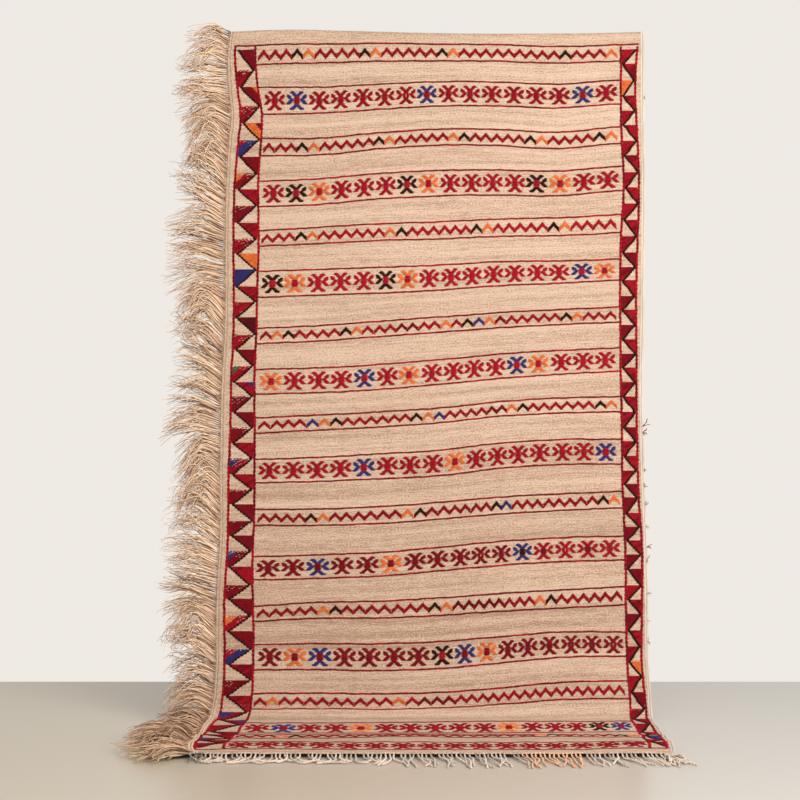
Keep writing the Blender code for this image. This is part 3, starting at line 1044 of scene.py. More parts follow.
def lay_zigzags():
    stitches = Stitches(seed=12)
    tall = ZIGZAG_BOTTOM - ZIGZAG_TOP
    for number, row in enumerate(PATTERN):
        if row.kind != "zigzag":
            continue
        edges = motif_edges(row, PEAKS, ROW_END_GAP)
        for peak, dye in enumerate(row.dyes):
            pitch = edges[peak + 1] - edges[peak]
            centre = edges[peak] + pitch / 2 + PEAK_WOBBLE * wander(peak, 1.0, 300 + number)
            raised = PEAK_RAISE * wander(peak, 1.5, 320 + number)
            width = tall * row_height(row, centre) / ZIGZAG_PASSES * PASS_OVERLAP
            for step in range(ZIGZAG_PASSES):
                part = (step + 0.5) / ZIGZAG_PASSES
                share = ZIGZAG_TOP + tall * part + raised
                for begin, end in leg_floats(part, pitch):
                    uneven = FLOAT_WOBBLE * stitches.random.uniform(-1, 1)
                    ends = centre + np.array([begin - FLOAT_END, end + FLOAT_END]) + uneven
                    stitches.add_in_row(row, share, ends, width, YARN_RISE, dye,
                                        depth=dye_depth(row, dye))
    return stitches.lay("zigzag_rows")


zigzag_rows = lay_zigzags()

# %% [markdown]
# ## Star rows
#
# The star is an old brocade figure that fits one small chart: a heart with eight leaf-like
# arms in four pairs. Each line of the chart is one pass of yarn, and each run of one letter
# is a float. The arms take the motif's dye and the heart usually stays red, sometimes round a dot.

# %% The star's chart
STAR = """
.....aaaa.....aaaa.....
....aaaaaa...aaaaaa....
......aaaaa.aaaaa......
.aaa...aaaaaaaaa...aaa.
.aaaaa..aaaaaaa..aaaaa.
.aaaaa...hhhhh...aaaaa.
..aaaaa.hhhhhhh.aaaaa..
....aaaaahhchhaaaaa....
...aaaaahhhchhhaaaaa...
..aaaaa.hhhchhh.aaaaa..
.aaaaa..hhhhhhh..aaaaa.
aaaaa....hhhhh....aaaaa
........aaaaaaa........
.......aaaaaaaaa.......
......aaaaa.aaaaa......
....aaaaaa...aaaaaa....
....aaaaa.....aaaaa....
""".split()
STARS = 16
STAR_TOP = 0.160
STAR_BOTTOM = 0.865
STAR_END_GAP = 0.006
ARM_SPREAD = 1.18           # a float is longer than its cells, because its pointed ends cover little
HEART_SPREAD = 1.24
STAR_WOBBLE = 0.0015
STAR_RAISE = 0.012
STAR_UNEVEN = 0.06          # how much a float's length varies


def chart_runs(line):
    """(first cell, one past the last cell, letter) for each run of one letter in a chart line."""
    runs = []
    for cell, letter in enumerate(line):
        if letter == ".":
            continue
        if runs and runs[-1][1] == cell and runs[-1][2] == letter:
            runs[-1][1] = cell + 1
        else:
            runs.append([cell, cell + 1, letter])
    return runs


def star_yarn(letter, dye, heart):
    """The dye of a chart letter: a is an arm, h the heart and c the heart's middle."""
    if letter == "a" or (letter == "h" and heart.islower()):
        return dye
    return heart.upper()


print("the chart is", len(STAR[0]), "cells wide and", len(STAR), "lines tall")


# %% Laying the stars
def lay_stars():
    stitches = Stitches(seed=13)
    dotted = [chart_runs(line) for line in STAR]
    whole = [chart_runs(line.replace("c", "h")) for line in STAR]
    cells = len(STAR[0])
    tall = STAR_BOTTOM - STAR_TOP
    for number, row in enumerate(PATTERN):
        if row.kind != "star":
            continue
        edges = motif_edges(row, STARS, STAR_END_GAP)
        for star, (dye, heart) in enumerate(zip(row.dyes, row.hearts)):
            pitch = edges[star + 1] - edges[star]
            cell = pitch / cells
            centre = edges[star] + pitch / 2 + STAR_WOBBLE * wander(star, 1.0, 400 + number)
            raised = STAR_RAISE * wander(star, 1.0, 450 + number)
            width = tall * row_height(row, centre) / len(STAR) * PASS_OVERLAP
            for line, runs in enumerate(dotted if heart.islower() else whole):
                share = STAR_TOP + tall * (line + 0.5) / len(STAR) + raised
                for begin, end, letter in runs:
                    middle = centre + ((begin + end) / 2 - cells / 2) * cell
                    spread = ARM_SPREAD if letter == "a" else HEART_SPREAD
                    uneven = 1 + STAR_UNEVEN * stitches.random.uniform(-1, 1)
                    half = (end - begin) * spread / 2 * cell * uneven
                    ends = np.array([middle - half, middle + half])
                    yarn = star_yarn(letter, dye, heart)
                    stitches.add_in_row(row, share, ends, width, YARN_RISE, yarn,
                                        depth=dye_depth(row, yarn))
    return stitches.lay("star_rows")


star_rows = lay_stars()

# %% [markdown]
# ## The triangle borders
#
# A black zigzag climbs between the two upright lines of a border, and above each of its legs
# a triangle is filled with wool, with a level top. The ground shows in the triangles between.
# Leg by leg the table says how far down the mat the zigzag has turned, and a chart gives the
# dyes: one letter fills a triangle, two letters are the dye along the zigzag and the dye in
# the far corner, and a small s marks worn wool with straw showing through.

# %% The borders' turns and charts
Turn = namedtuple("Turn", "number drop")
LEFT_TURNS = [
    Turn(0, 0.056), Turn(1, 0.115), Turn(6, 0.380), Turn(12, 0.680), Turn(18, 0.972), Turn(24, 1.255),
    Turn(30, 1.530), Turn(36, 1.814), Turn(43, 2.139), Turn(50, 2.450),
]
RIGHT_TURNS = [
    Turn(0, 0.051), Turn(7, 0.375), Turn(13, 0.674), Turn(19, 0.938), Turn(25, 1.207), Turn(31, 1.459),
    Turn(37, 1.717), Turn(43, 1.989), Turn(46, 2.132), Turn(52, 2.450),
]
# Triangles against the inner line and against the outer line, from the top down.
LEFT_DYES = (
    "D DO OD D R R O R M D RB D R R D D R D D R R DB D D D".split(),
    "Rs Rs BRs ROs Ds Rs B Rs Rs RGs Ds Ds RBs Ds Ds DBs Ds ROs BRs Ds DB D DO DB D".split(),
)
RIGHT_DYES = (
    "R OR R R RB R R R D D D R RB R R D D D R D R R D D R R".split(),
    "R R RB R RO R D R R R RO RG D R D R R D R R O D D R B D".split(),
)
print("turns:", LEFT_TURNS[-1].number, "at the left and", RIGHT_TURNS[-1].number, "at the right")

# %% Measures of the borders
PASS = 0.0021               # from one float down to the next
BORDER_YARN = 0.0026
BEAD = 0.0052               # spacing of the floats along one pass of a triangle's filling
BEAD_HALF = 0.76            # half the length of such a float, in beads
UPRIGHT_WIDTH = 0.0092
UPRIGHT_STEPS = (0.84, 1.16)            # it is narrower and wider by turns, tooth by tooth
UPRIGHT_WOBBLE = 0.0009
TOOTH = 0.0063              # the warps' spacing, which steps every slanted edge
STEPPED = 0.6               # how much of the zigzag's slope goes in such steps
TURN_WOBBLE = 0.003
ZIGZAG_WIDTH = 0.0108
ZIGZAG_WOBBLE = 0.0022
ZIGZAG_RISE = YARN_RISE * 1.15
ZIGZAG_LIFT = 0.0003        # keeps the zigzag above the wool that it crosses
TUCK = 0.3                  # how much of a neighbour's width the filling runs under
LEFT_MARGIN, RIGHT_MARGIN = 0.15, 0.09  # how far from the upright lines the zigzag turns back
FAR_CORNER = 0.030          # from here on a two-dye triangle takes its second dye
STREAK = 0.0100             # spacing of the bare slanted streaks in worn wool
STREAK_SLOPE = 0.6          # how far a streak rises for each metre across
STREAK_BARE = 0.88          # above this height of a wave the streak is bare
WORN_FROM, WORN_WANDER = 0.68, 0.40     # where in its triangle worn wool begins to show streaks
TEETH = 0.0065              # spacing of the teeth along the top of worn wool
TEETH_FROM, TEETH_SHARE = 0.91, 0.09    # where in its triangle the teeth begin and how tall
BACK_EVERY = 0.0063         # one float in this length of drop is carried behind
BACK_WIDTH = 0.0048
BACK_RISE = 0.0014
BACK_CLEARANCE = 0.03       # nothing is laid behind where the cloth is closer to the floor


def behind_shows(drop):
    return read_profile("height", drop) > BACK_CLEARANCE


print("a border has", len(np.arange(PATTERN_TOP, PATTERN_END, PASS)), "passes")


# %% One pass, and one border
def lay_upright(stitches, line, drop, seed):
    """One pass of an upright line."""
    middle = border_line(line, drop) + UPRIGHT_WOBBLE * wander(drop, 0.014, seed)
    dye = "D" if wander(drop, 0.03, seed + 5) > 0.1 else "R"
    half = UPRIGHT_WIDTH / 2 * UPRIGHT_STEPS[int(drop / TOOTH + seed / 2) % 2]
    stitches.add_level(middle, half, drop, BORDER_YARN, YARN_RISE, dye)


def lay_border(name, outer, inner, turns, dyes, seed):
    """One border, pass by pass. Its zigzag starts at the outer line."""
    stitches = Stitches(seed)
    numbers = np.arange(turns[-1].number + 1)
    places = np.interp(numbers, column(turns, "number"), column(turns, "drop"))
    places[1:-1] += TURN_WOBBLE * wander(numbers[1:-1], 1.0, seed)
    for drop in np.arange(PATTERN_TOP, PATTERN_END, PASS):
        lay_upright(stitches, outer, drop, seed + 1)
        lay_upright(stitches, inner, drop, seed + 2)
        leg = int(np.searchsorted(places, drop, side="right")) - 1
        if leg < 0 or leg >= len(places) - 1:
            continue
        chart = dyes[leg % 2][leg // 2]
        stepped = (math.floor(drop / TOOTH) + 0.5) * TOOTH
        reached = (1 - STEPPED) * drop + STEPPED * stepped - places[leg]
        part = np.clip(reached / (places[leg + 1] - places[leg]), 0, 1)
        near, far = (outer, inner) if leg % 2 == 0 else (inner, outer)
        start, end = border_line(near, drop), border_line(far, drop)
        reach = end - start
        margin = LEFT_MARGIN if reach > 0 else RIGHT_MARGIN
        turn = start + reach * (margin + (1 - LEFT_MARGIN - RIGHT_MARGIN) * part)
        turn += ZIGZAG_WOBBLE * wander(drop, 0.014, seed + 3)
        stitches.add_level(turn, ZIGZAG_WIDTH / 2, drop, BORDER_YARN, ZIGZAG_RISE, "K", lift=ZIGZAG_LIFT)
        if drop % BACK_EVERY < PASS and behind_shows(drop):
            stitches.add((turn, drop), (end, drop), BACK_WIDTH, BACK_RISE, chart[0], side=-1)
        lay_fill(stitches, chart, turn + math.copysign(ZIGZAG_WIDTH * TUCK, reach),
                 end - math.copysign(UPRIGHT_WIDTH * TUCK, reach), drop, 1 - part, seed + leg)
    return stitches.lay(name, uneven=0.22)


def lay_fill(stitches, chart, start, end, drop, top_share, seed):
    """One pass of a triangle's filling, from beside the zigzag to the upright line."""
    worn = chart.endswith("s")
    letters = chart.rstrip("s")
    span = abs(end - start)
    beads = max(1, round(span / BEAD))
    edges = np.linspace(start, end, beads + 1)
    for left, right in zip(edges, edges[1:]):
        middle = (left + right) / 2
        slanted = drop + STREAK_SLOPE * middle
        wave = math.sin(2 * math.pi * slanted / STREAK + 2.5 * wander(middle, 0.02, seed))
        begun = top_share > WORN_FROM + WORN_WANDER * wander(middle + 2 * drop, 0.013, seed + 7)
        between_teeth = top_share > TEETH_FROM + TEETH_SHARE * (slanted / TEETH % 1)
        if worn and (between_teeth or (begun and wave > STREAK_BARE)):
            continue
        dye = letters[0]
        if len(letters) == 2 and abs(middle - start) > FAR_CORNER:
            dye = letters[1]
        if dye == "R" and wander(slanted, 0.006, seed + 9) > 0.30:
            dye = "D"
        half = abs(right - left) * BEAD_HALF
        stitches.add_level(middle, half, drop, BORDER_YARN, YARN_RISE, dye)


# %% Laying both borders
left_border = lay_border("left_border", "left_outer", "left_inner", LEFT_TURNS, LEFT_DYES, 500)
right_border = lay_border("right_border", "right_outer", "right_inner", RIGHT_TURNS, RIGHT_DYES, 600)

# %% [markdown]
# ## The back
#
# The back isn't seen, so it is finished plainly. The yarns of the row lines are carried
# behind in longer floats, and each figure's yarn crosses behind it in a few level ones.

# %% Laying the back
BACK_STEP = 0.0136
BACK_SHARES = {"star": (0.24, 0.37, 0.50, 0.63, 0.76), "zigzag": (0.36, 0.52, 0.68)}
BACK_SPAN, BACK_UNEVEN = 0.43, 0.05     # a float's half length and how it varies, in motifs


def lay_back():
    stitches = Stitches(seed=15)
    for number, row in enumerate(PATTERN):
        if not behind_shows(row_drop(row, 0.0, 1.0)):
            continue
        first, last = row_span(row, 0.5)
        for across in np.arange(first, last - BACK_STEP / 2, BACK_STEP):
            ends = np.array([across, across + BACK_STEP])
            for share in (0.0, 1.0):
                stitches.add_in_row(row, share, ends, BACK_WIDTH, BACK_RISE, "D",
                                    line_wobble(ends, 800 + number), side=-1)
        edges = motif_edges(row, len(row.dyes), ROW_END_GAP)
        for motif, dye in enumerate(row.dyes):
            pitch = edges[motif + 1] - edges[motif]
            for share in BACK_SHARES[row.kind]:
                uneven = BACK_UNEVEN * wander(motif + 9 * share, 1.3, 830 + number)
                half = pitch * (BACK_SPAN + uneven)
                ends = edges[motif] + pitch / 2 + np.array([-half, half])
                stitches.add_in_row(row, share, ends, BACK_WIDTH, BACK_RISE, dye, side=-1)
    return stitches.lay("back_floats")


back_floats = lay_back()

# %% [markdown]
# ## The twined edge beside the fringe
#
# Before the ends are let loose they are locked by two rows of twining, so the strip beside
# the fringe shows two columns of small slanted stitches in straw, and a knot round each
# bunch of palm where it leaves the cloth.

# %% Laying the twining
TWINE_COLUMNS = (0.0055, 0.0135)    # from the mat's left edge
TWINE_STEP = 0.0034
TWINE_LENGTH = 0.0070
TWINE_WIDTH, TWINE_RISE = 0.0036, 0.0017
TWINE_SLANT = 0.0012
TWINE_WOBBLE = 0.0006
KNOT_STEP = 0.0063
KNOT_OUT, KNOT_IN = 0.0035, 0.0030  # how far a knot reaches past the edge and into the cloth
KNOT_WIDTH, KNOT_RISE = 0.0046, 0.0022


def lay_twining():
    stitches = Stitches(seed=14)
    for column_number, inset in enumerate(TWINE_COLUMNS):
        for drop in np.arange(0.002, LENGTH - 0.002, TWINE_STEP):
            middle = left_edge(drop) + inset + TWINE_WOBBLE * wander(drop, 0.02, 700 + column_number)
            stitches.add((middle - TWINE_LENGTH / 2, drop + TWINE_SLANT),
                         (middle + TWINE_LENGTH / 2, drop - TWINE_SLANT),
                         TWINE_WIDTH, TWINE_RISE, "C", depth=0.86)
    for drop in np.arange(0.003, LENGTH - 0.003, KNOT_STEP):
        edge = left_edge(drop)
        stitches.add((edge - KNOT_OUT, drop), (edge + KNOT_IN, drop),
                     KNOT_WIDTH, KNOT_RISE, "C", depth=0.80)
    return stitches.lay("twined_edge", 0.22, STRAW_YARN)


def straw_yarn_finish():
    finish = Finish("twined straw", roughness=0.85)
    fibres = finish.noise(finish.object_place(), scale=700.0)
    finish.colour(finish.mix(fibres.band(0.35, 0.75), finish.attribute("dye"), (0.50, 0.34, 0.22)))
    finish.bump(fibres, distance=0.0006, strength=0.7)
    return finish.material


STRAW_YARN = straw_yarn_finish()
twined_edge = lay_twining()
bpy.data.objects.remove(PILLOW)

# %% [markdown]
# ## Strands that follow a line
#
# The palm ends, the tassels, the side cords and the loose ends are all strands along a line.
# One Geometry Nodes tree makes them: it turns chains of points into curves, gives each point
# its own thickness and sweeps a small ring along them.


# %% The strand tree
def strand_tree():
    tree, start = new_tree("sweep strands", {"Sides": "Int", "Flatness": "Float", "Finish": "Material"})
    curves = add_node(tree, "GeometryNodeMeshToCurve", None, {"Mesh": start.outputs["Geometry"]})
    thick = add_node(tree, "GeometryNodeSetCurveRadius", None, {
        "Curve": curves.outputs[0], "Radius": named_attribute(tree, "thickness", "FLOAT")})
    ring = add_node(tree, "GeometryNodeCurvePrimitiveCircle", None, {
        "Resolution": start.outputs["Sides"], "Radius": 1.0})
    flat = add_node(tree, "ShaderNodeCombineXYZ", None, {0: 1.0, 1: start.outputs["Flatness"], 2: 1.0})
    section = add_node(tree, "GeometryNodeTransform", None, {
        "Geometry": ring.outputs[0], "Scale": flat.outputs[0]})
    swept = add_node(tree, "GeometryNodeCurveToMesh", None, {
        "Curve": thick.outputs[0], "Profile Curve": section.outputs[0], "Fill Caps": True})
    if "Scale" in swept.inputs:
        plug(tree, named_attribute(tree, "thickness", "FLOAT"), swept.inputs["Scale"])
    smooth = add_node(tree, "GeometryNodeSetShadeSmooth", None, {"Geometry": swept.outputs[0]})
    return end_tree(tree, smooth.outputs[0], start.outputs["Finish"])


STRAND_TREE = strand_tree()
print("strand tree:", len(STRAND_TREE.nodes), "nodes")


# %% Sweeping strands
def sweep_strands(name, paths, thickness, tones, sides, flatness, material, dyes=None):
    """paths (strand, point, 3); thickness and tones (strand, point); dyes a letter a strand."""
    strands, count = paths.shape[:2]
    starts = np.arange(strands)[:, None] * count + np.arange(count - 1)[None, :]
    edges = np.stack([starts, starts + 1], axis=-1).reshape(-1, 2)
    mesh = bpy.data.meshes.new(name + "_lines")
    mesh.from_pydata(paths.reshape(-1, 3).tolist(), edges.tolist(), [])
    for label, values in (("thickness", thickness), ("tone", tones)):
        write_attribute(mesh, label, "FLOAT", np.broadcast_to(values, (strands, count)))
    if dyes is not None:
        colours = np.repeat([(*DYES[dye], 1.0) for dye in dyes], count, axis=0)
        write_attribute(mesh, "dye", "FLOAT_COLOR", colours)
    piece = run_tree(name, mesh, STRAND_TREE, material, {
        "Sides": sides, "Flatness": flatness, "Finish": material})
    print(f"{name}: {strands} strands, {len(piece.data.polygons)} faces")
    return piece


print("made: sweep_strands")

# %% [markdown]
# ## The palm fringe
#
# The wefts' ends were left long at this side. They are split palm leaf: stiff at the edge,
# where they leave it pointing outwards and up, then bowing over and hanging in loose locks
# that are browner at their tips. Each strand is one line. Neighbours share a lock, whose
# length, bow and sway they mostly follow, and each adds a little of its own.

# %% The fringe down the edge
# bend is the share of a strand's length at which it turns over, and curl how wavy its tip is.
FringeRow = namedtuple("FringeRow", "drop length root_deg tip_deg bend curl")
FRINGE = [
    FringeRow(0.00, 0.140, 30, -38, 0.42, 0.3),
    FringeRow(0.08, 0.158, 24, -30, 0.50, 0.3),
    FringeRow(0.13, 0.160, 8, -4, 0.60, 0.5),
    FringeRow(0.20, 0.162, 10, -12, 0.50, 0.5),
    FringeRow(0.26, 0.172, 32, -40, 0.48, 0.3),
    FringeRow(0.36, 0.178, 44, -54, 0.52, 0.3),
    FringeRow(0.42, 0.172, 44, -40, 0.62, 0.9),
    FringeRow(0.49, 0.185, 38, 4, 0.75, 0.8),
    FringeRow(0.55, 0.172, 32, -10, 0.65, 0.4),
    FringeRow(0.62, 0.166, 22, -14, 0.60, 0.3),
    FringeRow(0.70, 0.180, 16, -8, 0.60, 0.3),
    FringeRow(0.77, 0.176, 18, -30, 0.50, 0.2),
    FringeRow(0.84, 0.182, 40, -50, 0.50, 0.3),
    FringeRow(0.92, 0.188, 46, -52, 0.55, 0.4),
    FringeRow(0.99, 0.186, 38, 6, 0.72, 0.9),
    FringeRow(1.08, 0.160, 36, -10, 0.55, 0.3),
    FringeRow(1.20, 0.162, 18, -10, 0.60, 0.3),
    FringeRow(1.28, 0.168, 26, -34, 0.45, 0.2),
    FringeRow(1.35, 0.182, 42, -54, 0.50, 0.2),
    FringeRow(1.43, 0.188, 46, -54, 0.55, 0.5),
    FringeRow(1.50, 0.182, 42, -34, 0.62, 0.7),
    FringeRow(1.58, 0.162, 28, 0, 0.55, 0.5),
    FringeRow(1.68, 0.160, 16, -4, 0.55, 0.2),
    FringeRow(1.74, 0.172, 30, -12, 0.50, 0.2),
    FringeRow(1.80, 0.190, 46, -54, 0.48, 0.3),
    FringeRow(1.88, 0.176, 38, -16, 0.60, 1.1),
    FringeRow(1.96, 0.150, 30, -26, 0.50, 0.4),
    FringeRow(2.04, 0.150, 28, -30, 0.45, 0.4),
    FringeRow(2.12, 0.140, 10, -4, 0.50, 0.8),
    FringeRow(2.22, 0.165, 2, -14, 0.50, 0.8),
    FringeRow(2.34, 0.180, -8, -16, 0.50, 0.8),
    FringeRow(2.44, 0.175, -16, -20, 0.50, 0.7),
    FringeRow(2.51, 0.140, -24, -30, 0.50, 0.5),
]
print("the strands are", min(column(FRINGE, "length")), "to", max(column(FRINGE, "length")), "m long")

# %% Measures of the palm strands
STRANDS = 2700
STRAND_POINTS = 11
LOCK_SPACING = 0.026        # strands that hang together
CLUSTER = 0.0063            # strands that leave the edge between the same two wefts
CLUSTER_SPREAD = 0.25       # how much of its own place a strand keeps in its cluster
TUCKED_IN = 0.003           # how far inside the cloth a strand begins
PALM_HALF_WIDTH = 0.0025
FOOT_FROM, FOOT_FADE = 2.03, 0.09    # the drops at which the strands come to lie on the floor
LYING_HEIGHT = 0.0045                # of the lowest strand's middle line, above the floor
LOOSE_ON_FLOOR = 1.7                 # how much more the angles stray there
HEAP, OWN_HEAP, LOCK_HEAP = 0.010, 0.022, 0.018     # how high the strands heap up there
TURN_SPAN = 0.36                     # the share of its length over which a strand turns over
GATHER = 1.6                         # how strongly a lock's strands are drawn together
GATHER_FROM, GATHER_SPAN = 0.35, 0.3
BACKWARD_SWAY = 0.55                 # the wall side leaves a strand less room than the front
OUTWARDS = np.array([-1.0, 0.0, 0.0])

# How far a lock, and each strand of its own, strays from the table.
Stray = namedtuple("Stray", "lock own")
LENGTH_STRAY = Stray(0.11, 0.20)     # as a share of the length
ROOT_STRAY = Stray(5, 4)             # in degrees
TIP_STRAY = Stray(15, 15)            # in degrees
BEND_STRAY = Stray(0.08, 0.12)
SWAY_STRAY = Stray(0.016, 0.030)     # in metres, to the front or to the wall
print(STRANDS, "strands in about", round(LENGTH / LOCK_SPACING), "locks")


# %% Where the strands begin, and where they lie
def palm_roots(drop, own):
    """Each strand's own drop at the edge, the point it leaves from, the normal and upwards."""
    cluster = (np.floor(drop / CLUSTER) + 0.5) * CLUSTER
    root_drop = np.clip(cluster + CLUSTER_SPREAD * (drop - cluster), 0.001, LENGTH - 0.002)
    facing = facing_at(left_edge(root_drop), root_drop)
    root = middle_points(left_edge(root_drop), root_drop) + facing * (0.0015 * own[:, 3:4])
    up = unit(middle_points(left_edge(drop), drop - NORMAL_STEP)
              - middle_points(left_edge(drop), drop + NORMAL_STEP))
    return root_drop, root - OUTWARDS * TUCKED_IN, facing, up


def lay_on_floor(paths, on_floor, own, lock_draw):
    """Heaps up the strands at the foot a little, and lets no strand sink into the floor."""
    along = np.linspace(0, 1, STRAND_POINTS)[None, :]
    heap = HEAP + OWN_HEAP * own[:, 5:6] + LOCK_HEAP * lock_draw[:, 4:5]
    paths[:, :, 2] += on_floor[:, None] * np.maximum(heap, 0) * np.sin(along * math.pi * 0.85)
    lowest = FLOOR + LYING_HEIGHT + 0.010 * np.abs(own[:, 5:6]) * (1 - along)
    paths[:, :, 2] = np.maximum(paths[:, :, 2], lowest)


print("made: palm_roots and lay_on_floor")


# %% The strands' paths
def palm_paths(seed):
    random = np.random.default_rng(seed)
    drop = np.sort(np.linspace(0.001, LENGTH - 0.004, STRANDS) + random.uniform(-0.003, 0.003, STRANDS))
    drop = np.clip(drop, 0.001, LENGTH - 0.002)
    lock = np.floor(drop / LOCK_SPACING + 0.4 * wander(drop, 0.05, seed + 1)).astype(int)
    lock_draw = np.random.default_rng(seed + 2).uniform(-1, 1, (lock.max() + 2, 5))[lock]
    own = random.uniform(-1, 1, (STRANDS, 6))
    table = {name: smooth_curve(column(FRINGE, "drop"), column(FRINGE, name), drop)
             for name in FringeRow._fields}
    on_floor = ease((drop - FOOT_FROM) / FOOT_FADE)
    loose = 1 + LOOSE_ON_FLOOR * on_floor

    def stray(amount, lock_draws, own_draws):
        return amount.lock * lock_draw[:, lock_draws] + amount.own * own[:, own_draws]

    own_share = (LENGTH_STRAY.own + 0.10 * on_floor) * own[:, 0]
    length = table["length"] * (0.88 + LENGTH_STRAY.lock * lock_draw[:, 0] + own_share)
    first = np.radians(table["root_deg"] + stray(ROOT_STRAY, 1, 1) * loose)
    last = np.radians(table["tip_deg"] + stray(TIP_STRAY, 2, 2) * loose)
    bend = table["bend"] + BEND_STRAY.lock * lock_draw[:, 3] + BEND_STRAY.own * own[:, 4]
    lock_middle = (lock + 0.5) * LOCK_SPACING
    root_drop, place, facing, up = palm_roots(drop, own)
    paths = [place]
    sway = stray(SWAY_STRAY, 3, 3) * (1 - on_floor)
    sway = np.where(sway < 0, BACKWARD_SWAY * sway, sway)
    stride = length / (STRAND_POINTS - 1)
    for step in range(1, STRAND_POINTS):
        part = (step - 0.5) / (STRAND_POINTS - 1)
        bow = ease((part - bend) / TURN_SPAN + 0.5)
        wave = 0.05 + table["curl"] * part**1.5
        angle = first + (last - first) * bow + wave * np.sin(11 * part + 7 * own[:, 4])
        angle = angle + on_floor * 0.38 * own[:, 1] * np.sin(2.2 * part + 3 * own[:, 2])
        gather = (lock_middle - drop) * GATHER * ease((part - GATHER_FROM) / GATHER_SPAN)
        gather = gather * (1 - 0.6 * on_floor)
        gather = (gather + (drop - root_drop)) / (STRAND_POINTS - 1)
        move = OUTWARDS * (np.cos(angle) * stride)[:, None]
        move = move + up * (np.sin(angle) * stride - gather)[:, None]
        move = move + facing * (sway / (STRAND_POINTS - 1))[:, None]
        place = place + move
        paths.append(place)
    paths = np.stack(paths, axis=1)
    lay_on_floor(paths, on_floor, own, lock_draw)
    return paths, own, lock_draw, on_floor[:, None]


print("made: palm_paths")

# %% The palm's finish
PALM_LIGHT, PALM_MIDDLE, PALM_DARK = (0.81, 0.60, 0.42), (0.56, 0.365, 0.24), (0.22, 0.115, 0.07)


def palm_finish():
    finish = Finish("palm fibre", roughness=0.6)
    streak = finish.noise(finish.object_place(), scale=220.0)
    mixed = (finish.attribute("tone", "Fac") + (streak - 0.5) * 0.4).band(0.0, 1.0)
    base = finish.mix(mixed.band(0.0, 0.5), PALM_LIGHT, PALM_MIDDLE)
    finish.colour(finish.mix(mixed.band(0.5, 1.0), base, PALM_DARK))
    finish.bump(streak, distance=0.0005, strength=0.5)
    return finish.material


PALM = palm_finish()
print("palm finish:", len(PALM.node_tree.nodes), "nodes")

# %% Making the fringe
WIDTH_STRAY = 0.35
TIP_THINNING = 0.68
WIDER_ON_FLOOR = 0.40


def build_fringe():
    paths, own, lock_draw, on_floor = palm_paths(seed=31)
    part = np.linspace(0, 1, STRAND_POINTS)[None, :]
    thickness = PALM_HALF_WIDTH * (1 + WIDTH_STRAY * own[:, 3:4]) * (1 - TIP_THINNING * part**1.5)
    thickness = thickness * (1 + WIDER_ON_FLOOR * on_floor)
    # A higher tone is darker. Strands whose roots sit further back are painted darker, as painted shade
    # between the layers; the rest of this sum is random tone.
    tones = 0.40 + 0.40 * own[:, 5:6] - 0.22 * own[:, 3:4] + 0.10 * lock_draw[:, 4:5]
    # The tips are browner. Near the edge the strands are painted darker, as painted shade between the
    # knots and clumps at the root, and the strands that lie on the floor are painted lighter, as painted
    # light against their own shadows.
    tones = tones + 0.16 * part**3 + 0.8 * (1 - part) ** 8 - 0.12 * on_floor
    piece = sweep_strands("palm_strands", paths, thickness, tones, 3, 0.6, PALM)
    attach(piece, "root")
    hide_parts("palm_fringe")
    return piece


palm_strands = build_fringe()

# %% [markdown]
# ## Twisted yarn
#
# A two-ply yarn is two thin strands wound round one line. Its plies are helices about the
# yarn's path, half a turn apart, so tassels catch the light as real twisted yarn does.


# %% Plies round a path
SLANTWISE = np.array([0.31, 0.12, 0.94])    # a direction that no yarn runs in


def plies_of(paths, radius, turns):
    """Two helices round each path: (2 * strand, point, 3)."""
    along = unit(np.gradient(paths, axis=1))
    aside = unit(np.cross(along, SLANTWISE))
    other = np.cross(along, aside)
    angle = np.linspace(0, 2 * math.pi * turns, paths.shape[1])[None, :, None]
    made = []
    for ply in (0, math.pi):
        made.append(paths + radius * (aside * np.cos(angle + ply) + other * np.sin(angle + ply)))
    return np.concatenate(made)


print("made: plies_of")

# %% The yarn's finish
YARN_LIGHT, YARN_MIDDLE, YARN_DARK = (0.77, 0.63, 0.52), (0.54, 0.45, 0.375), (0.20, 0.165, 0.14)
SALMON_LIGHT, SALMON_DARK = (0.78, 0.50, 0.33), (0.60, 0.30, 0.17)
SALMON_TONE = 1.3           # tones from here on are salmon yarn, at any shade


def yarn_finish():
    finish = Finish("cream yarn", roughness=0.9, sheen=0.15)
    tone = finish.attribute("tone", "Fac")
    fibre = finish.noise(finish.object_place(), scale=500.0)
    mixed = (tone + (fibre - 0.5) * 0.5).band(0.0, 1.0)
    base = finish.mix(mixed.band(0.0, 0.5), YARN_LIGHT, YARN_MIDDLE)
    base = finish.mix(mixed.band(0.5, 1.0), base, YARN_DARK)
    salmon = finish.mix(fibre, SALMON_LIGHT, SALMON_DARK)
    finish.colour(finish.mix(tone.band(1.1, 1.25), base, salmon))
    finish.bump(fibre, distance=0.0005, strength=0.6)
    return finish.material


YARN = yarn_finish()
print("yarn finish:", len(YARN.node_tree.nodes), "nodes")

# %% [markdown]
# ## Warp tassels at the lower end
#
# The warps' ends are twisted in pairs. They come over the cloth's raised front edge, bend
# down to the floor and lie there, each with its own small curve. At the left they curl back
# under themselves, to the right they lean over side by side, and those at the right corner
# are longer and splay outwards.

# %% Measures of the tassels
BUNCHES = 26
YARNS_IN_BUNCH = 4
TASSEL_POINTS = 18
TASSEL_LENGTH = 0.118
PLY_RADIUS = 0.0014
PLY_HALF_WIDTH = 0.0018
CORNER_YARNS = 10
CORNER_LENGTH = 0.102
CORNER_SPREAD = 0.030                   # the width that the corner's longer yarns leave from
CURLY_TO, CURLY_FADE = 0.25, 0.30       # how far across, as a share, the yarns curl back
FRONT_LIMIT = cad_low.y - 0.024         # no yarn reaches further forward than this
SALMON_FROM, SALMON_TO = 0.21, 0.38     # where across the mat the yarn was dyed
print(BUNCHES * YARNS_IN_BUNCH, "yarns in bunches and", CORNER_YARNS, "at the corner")


